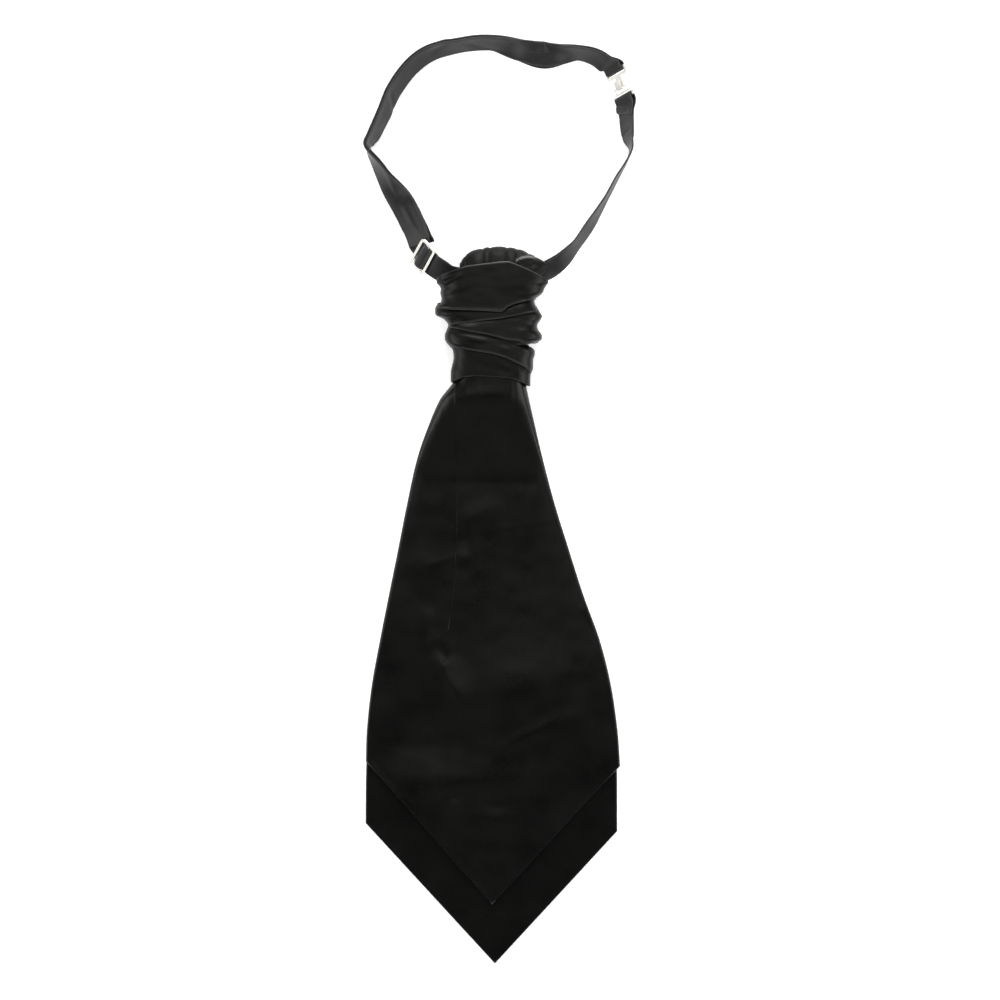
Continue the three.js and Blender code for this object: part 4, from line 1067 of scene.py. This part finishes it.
COURSE = table(
    "x y tilt lift width",
    (69.0, 221.6, -138, 3.6, 13),
    (69.6, 211.0, -124, 0.8, 13.8),
    (70.8, 199.2, -116, 0, 14),
    (72.4, 192.3, -92, 0, 14),
    (64.3, 176.0, -84, 0, 14),
    (58.6, 165.2, -82, 0, 14),
    (50.4, 152.2, -70, 0, 14),
    (41.6, 139.6, -70, 0.6, 14),
    (32.2, 129.7, -42, 5.2, 12.4),
    (22.0, 124.4, -7, 9.7, 10.5),
    (0.0, 123.0, 0, 10.4, 10),
    (-17.0, 122.3, -3, 10.1, 9.6),
    (-27.6, 123.4, -24, 9.4, 11.6),
    (-32.8, 126.2, -34, 8.6, 14),
    (-36.5, 128.6, -36, 7.6, 14),
    (-37.2, 129.3, -36, 7.2, 14),
    (-41.3, 133.7, -36, 4.2, 14),
    (-45.4, 138.1, -36, 1.2, 14),
    (-46.1, 139.0, -34, 1.2, 14),
    (-47.3, 149.3, -19, 1.4, 14),
    (-53.4, 162.6, -16, 1.4, 14),
    (-57.9, 169.2, -34, 1.2, 14),
    (-62.3, 175.4, -56, 0.8, 14),
    (-68.6, 185.0, -74, 0.4, 14),
    (-73.0, 192.2, -90, 0, 14),
    (-73.2, 195.8, -106, 0, 14),
    (-70.3, 200.0, -116, 0, 14),
    (-64.4, 212.4, -119, 0, 14),
    (-58.6, 225.6, -121, 0, 14),
    (-48.2, 238.9, -124, 0, 14),
    (-38.3, 246.0, -123, 0, 14),
    (-21.2, 250.6, -117, 0, 14),
    (-3.0, 251.7, -119, 0, 14),
    (12.1, 247.8, -147, 0, 14),
    (24.2, 244.9, -170, 0, 14),
    (34.2, 245.6, -140, 0, 14),
    (43.0, 246.3, -116, 0, 14),
    (53.5, 243.4, -126, 0.6, 13.6),
    (63.4, 235.6, -140, 2.0, 13),
)
STRAP_CREASES = table(
    "x0 y0 x1 y1 width height lean",
    (-64.2, 184.3, -44.9, 144.1, 1.5, 0.5, 0.3),
    (17.4, 246.6, 28.9, 244.9, 0.9, -0.4, 0.5),
    (65.8, 208.6, 71.9, 214.6, 0.8, 0.4, 0.3),
    (67.5, 198.1, 73.0, 204.7, 0.8, 0.4, 0.3),
    (-62.0, 226.0, -59.0, 211.0, 1.2, 0.5, 0.2),
    (-70.2, 199.0, -68.8, 193.8, 0.9, 0.5, 0.2),
    (-38.0, 246.5, -27.5, 253.0, 1.6, 0.5, 0.2),
    (-19.6, 252.1, 2.5, 247.7, 1.2, 0.3, 0.2),
    (59.8, 163.4, 48.2, 141.9, 0.9, -0.3, 0.3),
)
SLIP = 0.8
SLIP_AT = (24.2, 244.9)
SLIP_REACH = 14.0
SWAY_OVER = 2.8
SWAY_UNDER = 4.6
SWAY_FADES = (2.6, 7.0, 4.0, 22.0)


def course_curve(stations, shares):
    """Points on a smooth curve through the stations. At 2.5 it is halfway from the third to the fourth."""
    ends = 2 * stations[[0, -1]] - stations[[1, -2]]
    knots = np.vstack([ends[:1], stations, ends[1:]])
    gap = np.sqrt(np.linalg.norm(np.diff(knots, axis=0), axis=1))
    n = np.minimum(shares.astype(int), len(stations) - 2)
    t = (shares - n)[:, None]
    p0, p1, p2, p3 = (knots[n + k] for k in range(4))
    d0, d1, d2 = (gap[n + k][:, None] for k in range(3))
    out = ((p1 - p0) / d0 - (p2 - p0) / (d0 + d1) + (p2 - p1) / d1) * d1
    into = ((p2 - p1) / d1 - (p3 - p1) / (d1 + d2) + (p3 - p2) / d2) * d1
    return p1 + t * (out + t * (3 * (p2 - p1) - 2 * out - into + t * (2 * (p1 - p2) + out + into)))


def unit(vectors):
    """The vectors, each made 1 long."""
    return vectors / np.linalg.norm(vectors, axis=-1, keepdims=True)


stations = np.stack([COURSE["x"], COURSE["y"]], axis=-1)
shares = []
for n in range(len(stations) - 1):
    pitch = SLIDE_PITCH if n in (SLIDE_STATION - 1, SLIDE_STATION) else STRAP_PITCH
    steps = math.ceil(math.dist(stations[n], stations[n + 1]) / pitch)
    shares += [n + k / steps for k in range(steps)]
shares = np.array(shares + [len(stations) - 1.0])
plan = course_curve(stations, shares)
run = np.concatenate([[0], np.cumsum(np.linalg.norm(np.diff(plan, axis=0), axis=1))])
slide_at = int(np.argmin(np.linalg.norm(plan - stations[SLIDE_STATION], axis=1)))
past_slide = run - run[slide_at]
total_run = run[-1]
nearby = bell(run[:, None], run, STRAP_SOFTEN) * np.gradient(run)
nearby /= nearby.sum(axis=1, keepdims=True)
from_metal = np.minimum.reduce([np.abs(past_slide), run, total_run - run])


def along_strap(column):
    """A column of the course all along the strap, evened out where no metal holds it."""
    values = np.interp(shares, np.arange(len(stations)), COURSE[column])
    return mix(values, nearby @ values, smooth(from_metal, *STRAP_SOFTEN_FROM))


tilt, lift, width = np.radians(along_strap("tilt")), along_strap("lift"), along_strap("width")
rise = lift + width / 2 * np.abs(np.sin(tilt)) + STRAP_THICK / 2 * np.abs(np.cos(tilt))
spine = np.column_stack([plan, rise])
forward = unit(np.gradient(spine, axis=0))
left = unit(np.cross((0.0, 0.0, 1.0), forward))
up = np.cross(forward, left)
across = left * np.cos(tilt)[:, None] + up * np.sin(tilt)[:, None]
out = unit(np.cross(forward, across))
half_width = width / 2

clasp_middle = (spine[0] + spine[-1]) / 2
clasp_forward = unit(spine[0] - spine[-1])
clasp_across = across[0] + across[-1]
clasp_across = unit(clasp_across - clasp_forward * (clasp_across @ clasp_forward))
clasp_out = np.cross(clasp_forward, clasp_across)
eye_bar = clasp_middle + clasp_forward * CLASP_REACH - clasp_out * CLASP_STEP / 2
hook_bar = clasp_middle - clasp_forward * CLASP_REACH + clasp_out * CLASP_STEP / 2


def stretch_of_band(index, offset, distance, bar, towards, side, slip):
    """Rings of the band along its course, offset out of its face, and turned to lie along a bar close to it.
    slip is the way that this layer slips sideways from the other, and sway the way that it bows."""
    share = (1 - smooth(distance, BAR_NEAR, BAR_FAR))[:, None]
    free = spine[index] + out[index] * offset[:, None]
    held = bar + clasp_out * side * FOLD_RADIUS + clasp_forward * towards * distance[:, None]
    turned = unit(mix(across[index], clasp_across, share))
    from_slip = np.linalg.norm(plan[index] - SLIP_AT, axis=1)
    shift = turned * (slip * SLIP * bell(from_slip, 0, SLIP_REACH))[:, None]
    sway = (SWAY_UNDER if slip < 0 else SWAY_OVER) * between(past_slide[index], *SWAY_FADES)
    return mix(free, held, share) + shift - left[index] * sway[:, None], turned, index, 1 - share[:, 0]


def fold_of_band(bar, towards, side, index):
    """Rings round a bar, from one face of the band to the other."""
    turn = np.linspace(0, np.pi, 14)[1:-1, None]
    count = len(turn)
    round_bar = clasp_out * side * np.cos(turn) + clasp_forward * towards * np.sin(turn)
    point = bar + FOLD_RADIUS * round_bar
    return point, np.repeat(clasp_across[None], count, axis=0), np.full(count, index), np.zeros(count)


every = np.arange(len(run))
tail = every[run <= HEM_TAIL][::-1]
back = every[past_slide >= RETURN_END][::-1]
tucked = np.clip((TUCK_FROM - np.abs(past_slide)) / (TUCK_FROM - TUCK_TO), 0, 1)
tuck = SLIDE_DIP * (1 - np.cos(np.pi * tucked))
ends_up = RETURN_RISE * (1 - smooth(past_slide[back], RETURN_RISE_FROM, TUCK_FROM))
near_eye = every[run < total_run / 2]
near_hook = every[run >= total_run / 2]
path = [
    stretch_of_band(tail, np.full(len(tail), -LAYER_STEP), run[tail], eye_bar, 1, -1, 0),
    fold_of_band(eye_bar, -1, -1, 0),
    stretch_of_band(near_eye, tuck[near_eye], run[near_eye], eye_bar, 1, 1, 0),
    stretch_of_band(near_hook, tuck[near_hook], total_run - run[near_hook], hook_bar, -1, 1, 1),
    fold_of_band(hook_bar, 1, 1, len(run) - 1),
    stretch_of_band(back, ends_up - LAYER_STEP, total_run - run[back], hook_bar, -1, -1, -1),
]
middle, turned, index, loose = (np.concatenate(parts) for parts in zip(*path))
path_run = np.concatenate([[0], np.cumsum(np.linalg.norm(np.diff(middle, axis=0), axis=1))])
half_here = half_width[index][:, None]
rim = np.array(STRAP_RIM) / STRAP_HALF
inner_part = np.linspace(rim[-1] - 1, 1 - rim[-1], 19)[1:-1]
s = np.concatenate([rim - 1, inner_part, (1 - rim)[::-1]])[None, :]
master = spine[:, None] + across[:, None] * (s * half_width[:, None])[..., None]
side_way, long_way = s * half_width[:, None], run[:, None] + 0 * s
ripple = puckers(side_way, long_way, *STRAP_FINE) + puckers(side_way * STRAP_STRETCH, long_way, *STRAP_BROAD)
seam = SEAM_DEPTH * bell(half_width[:, None] * (1 - np.abs(s)), *SEAM_PLACE)
band_relief = ripple - seam + creases(STRAP_CREASES, master[..., 0], master[..., 1])
surface = middle[:, None] + turned[:, None] * (s * half_here)[..., None]
surface = surface + out[index][:, None] * (band_relief[index] * loose[:, None])[..., None]
facing = unit(np.cross(unit(np.gradient(middle, axis=0)), turned))[:, None] * STRAP_THICK / 2
inside = np.minimum(half_here * (1 - np.abs(s)), np.minimum(path_run, path_run[-1] - path_run)[:, None])
over, under = soften(surface + facing, surface - facing, inside[..., None], STRAP_THICK / 2)
sunk = np.minimum(np.minimum(over[..., 2], under[..., 2]).min(axis=1), 0)
over[..., 2] -= sunk[:, None]
under[..., 2] -= sunk[:, None]
strap_satin = satin("strap_satin", 0.36, 0.165, edge=STRAP_PAINTED_HIGHLIGHT, colour=STRAP_BLACK_WITH_GLARE, lint=STRAP_LINT_WITH_GLARE)
place = np.stack([s * half_here, path_run[:, None] + 0 * s], axis=-1)
# The strap's edges get a painted highlight.
strap = shell("strap_band", over, under, place, fading(inside, *STRAP_SHINE), strap_satin, "strap_satin")
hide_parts("neck_strap")

# Slide
# The adjuster that the strap is threaded through: a flat frame of nickelled metal with a bar in its middle.
# It is die cast, so its bars are rounded. The strap goes under its two long sides and over the middle bar.
NICKEL = (0.86, 0.845, 0.79, 1.0)
NICKEL_DULL = (0.6, 0.58, 0.53, 1.0)
HANDLED_SCALE = 350.0
HANDLED_RANGE = (0.45, 0.75)
DULL_ROUGHNESS = 0.12
SCRATCH_SCALES = (3000.0, 250.0, 600.0)
SCRATCH_RELIEF = 0.004
ROUNDING_STEPS = 5
ROUNDING_ANGLE = 40
SLIDE_LONG = 18.0
SLIDE_SHORT = 12.0
SLIDE_BAR = 1.6
SLIDE_THICK = 1.0
SLIDE_CORNER = 2.4
SLIDE_INNER_CORNER = 0.7
SLIDE_ROUNDING = 0.42

worn_metal, given, result = effect("worn_metal", Bright=NICKEL, Dull=NICKEL_DULL, Roughness=0.25)
on_piece = add(worn_metal, "ShaderNodeTexCoord", {}).outputs["Object"]
handled = noise(worn_metal, on_piece, HANDLED_SCALE, detail=4.0)
rubbed = ranged(worn_metal, handled, HANDLED_RANGE, (0.0, 1.0))
scratches = noise(worn_metal, stretched(worn_metal, on_piece, SCRATCH_SCALES), scale=1.0, detail=2.0)
dulled = worked_out(worn_metal, "MULTIPLY", rubbed, DULL_ROUGHNESS)
fill(result, {
    "Colour": blended(worn_metal, rubbed, given["Bright"], given["Dull"]),
    "Roughness": worked_out(worn_metal, "ADD", given["Roughness"], dulled),
    "Height": scratches,
})

nickel_values = {"Bright": NICKEL, "Dull": NICKEL_DULL, "Roughness": 0.3}
nickel, shader = finish("nickel", worn_metal, nickel_values, SCRATCH_RELIEF)
fill(shader, {"Metallic": 1.0})


def arc(x, y, half_wide, half_high, start, end, steps=16):
    """Points on a stretch of an ellipse, from one angle in degrees to another."""
    turns = np.radians(np.linspace(start, end, steps + 1))
    return [(x + half_wide * math.cos(turn), y + half_high * math.sin(turn)) for turn in turns]


def rounded_rectangle(left, bottom, right, top, radius, steps=8):
    """Points round a rectangle with round corners."""
    corners = (
        (right - radius, bottom + radius, -90),
        (right - radius, top - radius, 0),
        (left + radius, top - radius, 90),
        (left + radius, bottom + radius, 180),
    )
    points = []
    for x, y, start in corners:
        points += arc(x, y, radius, radius, start, start + 90, steps)
    return points


def block(outline, low, high):
    """An object in millimetres with straight sides: an outline of points, from low to high."""
    count = len(outline)
    vertices = [(x, y, z) for z in (low, high) for x, y in outline]
    sides = [(k, (k + 1) % count, count + (k + 1) % count, count + k) for k in range(count)]
    mesh = bpy.data.meshes.new("block")
    mesh.from_pydata(vertices, [], [tuple(range(count))[::-1], tuple(range(count, 2 * count)), *sides])
    made = bpy.data.objects.new("block", mesh)
    bpy.context.scene.collection.objects.link(made)
    return made


def metal_piece(name, blank, tools, rounding, frame_at, node):
    """A blank with other blocks cut from it or joined to it and its edges rounded, placed in the frame."""
    for tool, kind in tools:
        step = blank.modifiers.new(kind, "BOOLEAN")
        step.operation = kind
        step.object = tool
        step.solver = "EXACT"
    bevel = blank.modifiers.new("rounding", "BEVEL")
    bevel.width = rounding
    bevel.segments = ROUNDING_STEPS
    bevel.limit_method = "ANGLE"
    bevel.angle_limit = math.radians(ROUNDING_ANGLE)
    bevel.harden_normals = True
    bpy.context.view_layer.update()
    mesh = bpy.data.meshes.new_from_object(blank.evaluated_get(bpy.context.evaluated_depsgraph_get()))
    for used in [blank, *(tool for tool, kind in tools)]:
        bpy.data.objects.remove(used)
    middle, forward, across, out = frame_at
    turn = Matrix(np.column_stack([-across, forward, out]).tolist()).to_4x4()
    mesh.transform(Matrix.Scale(MM, 4) @ Matrix.Translation(middle.tolist()) @ turn)
    mesh.materials.clear()
    mesh.materials.append(nickel)
    mesh.name = name
    made = bpy.data.objects.new(name, mesh)
    bpy.context.scene.collection.objects.link(made)
    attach(made, "root")
    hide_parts(node)
    return made


half_long, half_short = SLIDE_LONG / 2, SLIDE_SHORT / 2
rim_outline = rounded_rectangle(-half_long, -half_short, half_long, half_short, SLIDE_CORNER)
windows = []
for side in (-1, 1):
    near_bar, far_bar = sorted((side * SLIDE_BAR / 2, side * (SLIDE_SHORT / 2 - SLIDE_BAR)))
    window_end = SLIDE_LONG / 2 - SLIDE_BAR
    window = rounded_rectangle(-window_end, near_bar, window_end, far_bar, SLIDE_INNER_CORNER)
    windows.append((block(window, -SLIDE_THICK, SLIDE_THICK), "DIFFERENCE"))
slide_middle = spine[slide_at] + out[slide_at] * SLIDE_DIP
slide_frame = (slide_middle, forward[slide_at], across[slide_at], out[slide_at])
slide_blank = block(rim_outline, -SLIDE_THICK / 2, SLIDE_THICK / 2)
metal_piece("slide_frame", slide_blank, windows, SLIDE_ROUNDING, slide_frame, "slide")

# Hook and eye
# The fastening at the end of the strap, both stamped from one sheet of nickelled metal and polished. The
# hook's tongue turns down and back, and lies in the opening under the eye's arch.
CLASP_BAR = 1.2
CLASP_WIDTH = 16.0
CLASP_THICK = 1.0
CLASP_CORNER = 1.6
CLASP_ROUNDING = 0.28
SLOT_WIDE = 13.6
SLOT_HIGH = 2.0
SLOT_CORNER = 0.5
TONGUE_WIDTH = 4.2
TONGUE_START = -4.2
TONGUE_TURN = 1.6
TONGUE_BACK = -1.8
TONGUE_ROOT = 0.2
ARCH_HALF = 5.4
ARCH_APEX = 0.7
ARCH_SPRING = 3.6
SHOULDER = 5.2
SHOULDER_ROUND = 1.0
EYE_HOLE_HALF = 4.2
EYE_HOLE_APEX = 1.8
EYE_HOLE_FOOT = 4.5
clasp_frame = (clasp_middle, clasp_forward, clasp_across, clasp_out)


def stamped(outline, plane, thick=CLASP_THICK):
    """A flat block of the clasp's sheet, or a thicker one to cut it with."""
    return block(outline, plane - thick / 2, plane + thick / 2)


def strap_slot(bar_y, towards, plane):
    """The block that cuts the slot for the strap, beside a bar at bar_y."""
    low, high = sorted((bar_y + towards * CLASP_BAR / 2, bar_y + towards * (CLASP_BAR / 2 + SLOT_HIGH)))
    outline = rounded_rectangle(-SLOT_WIDE / 2, low, SLOT_WIDE / 2, high, SLOT_CORNER)
    return stamped(outline, plane, 2 * CLASP_THICK)


def bend(start, corner, end, steps=5):
    """Points on a curve that leaves start towards corner and reaches end from it. start isn't among them."""
    shares = np.linspace(0, 1, steps + 1)[1:]
    return [
        tuple((1 - t) ** 2 * a + 2 * t * (1 - t) * b + t * t * c for a, b, c in zip(start, corner, end))
        for t in shares
    ]


hook_plane = CLASP_STEP / 2
hook_bottom = -CLASP_REACH - CLASP_BAR / 2
hook_top = TONGUE_START + TONGUE_ROOT
hook_outline = rounded_rectangle(-CLASP_WIDTH / 2, hook_bottom, CLASP_WIDTH / 2, hook_top, CLASP_CORNER)
hook_blank = stamped(hook_outline, hook_plane)
inner, outer = CLASP_STEP - CLASP_THICK / 2, CLASP_STEP + CLASP_THICK / 2
bend_plane = hook_plane - CLASP_STEP
tongue_side = [
    (TONGUE_START, hook_plane + CLASP_THICK / 2),
    (TONGUE_START, hook_plane - CLASP_THICK / 2),
    *arc(TONGUE_TURN, bend_plane, inner, inner, 90, -90),
    (TONGUE_BACK, bend_plane - inner),
    (TONGUE_BACK, bend_plane - outer),
    *arc(TONGUE_TURN, bend_plane, outer, outer, -90, 90),
]
tongue = block(tongue_side, -TONGUE_WIDTH / 2, TONGUE_WIDTH / 2)
tongue.data.transform(Matrix(((0, 0, 1, 0), (1, 0, 0, 0), (0, 1, 0, 0), (0, 0, 0, 1))))
hook_tools = [(strap_slot(-CLASP_REACH, 1, hook_plane), "DIFFERENCE"), (tongue, "UNION")]
metal_piece("hook_stamping", hook_blank, hook_tools, CLASP_ROUNDING, clasp_frame, "clasp_hook")

eye_plane = -CLASP_STEP / 2
eye_top = CLASP_REACH + CLASP_BAR / 2
half_eye = CLASP_WIDTH / 2
left_shoulder = (-half_eye + SHOULDER_ROUND, SHOULDER)
right_shoulder = (half_eye - SHOULDER_ROUND, SHOULDER)
left_spring, right_spring = (-ARCH_HALF, ARCH_SPRING), (ARCH_HALF, ARCH_SPRING)
eye_outline = [
    (-half_eye, SHOULDER + SHOULDER_ROUND),
    *bend((-half_eye, SHOULDER + SHOULDER_ROUND), (-half_eye, SHOULDER), left_shoulder),
    *bend(left_shoulder, (-ARCH_HALF, SHOULDER), left_spring),
    *arc(0, ARCH_SPRING, ARCH_HALF, ARCH_SPRING - ARCH_APEX, 180, 360)[1:],
    *bend(right_spring, (ARCH_HALF, SHOULDER), right_shoulder),
    *bend(right_shoulder, (half_eye, SHOULDER), (half_eye, SHOULDER + SHOULDER_ROUND)),
    *arc(half_eye - CLASP_CORNER, eye_top - CLASP_CORNER, CLASP_CORNER, CLASP_CORNER, 0, 90, 6),
    *arc(-half_eye + CLASP_CORNER, eye_top - CLASP_CORNER, CLASP_CORNER, CLASP_CORNER, 90, 180, 6),
]
eye_hole = [(-EYE_HOLE_HALF, EYE_HOLE_FOOT)]
eye_hole += arc(0, ARCH_SPRING, EYE_HOLE_HALF, ARCH_SPRING - EYE_HOLE_APEX, 180, 360)
eye_hole += [(EYE_HOLE_HALF, EYE_HOLE_FOOT)]
eye_blank = stamped(eye_outline, eye_plane)
eye_tools = [
    (stamped(eye_hole, eye_plane, 2 * CLASP_THICK), "DIFFERENCE"),
    (strap_slot(CLASP_REACH, -1, eye_plane), "DIFFERENCE"),
]
metal_piece("eye_stamping", eye_blank, eye_tools, CLASP_ROUNDING, clasp_frame, "clasp_eye")
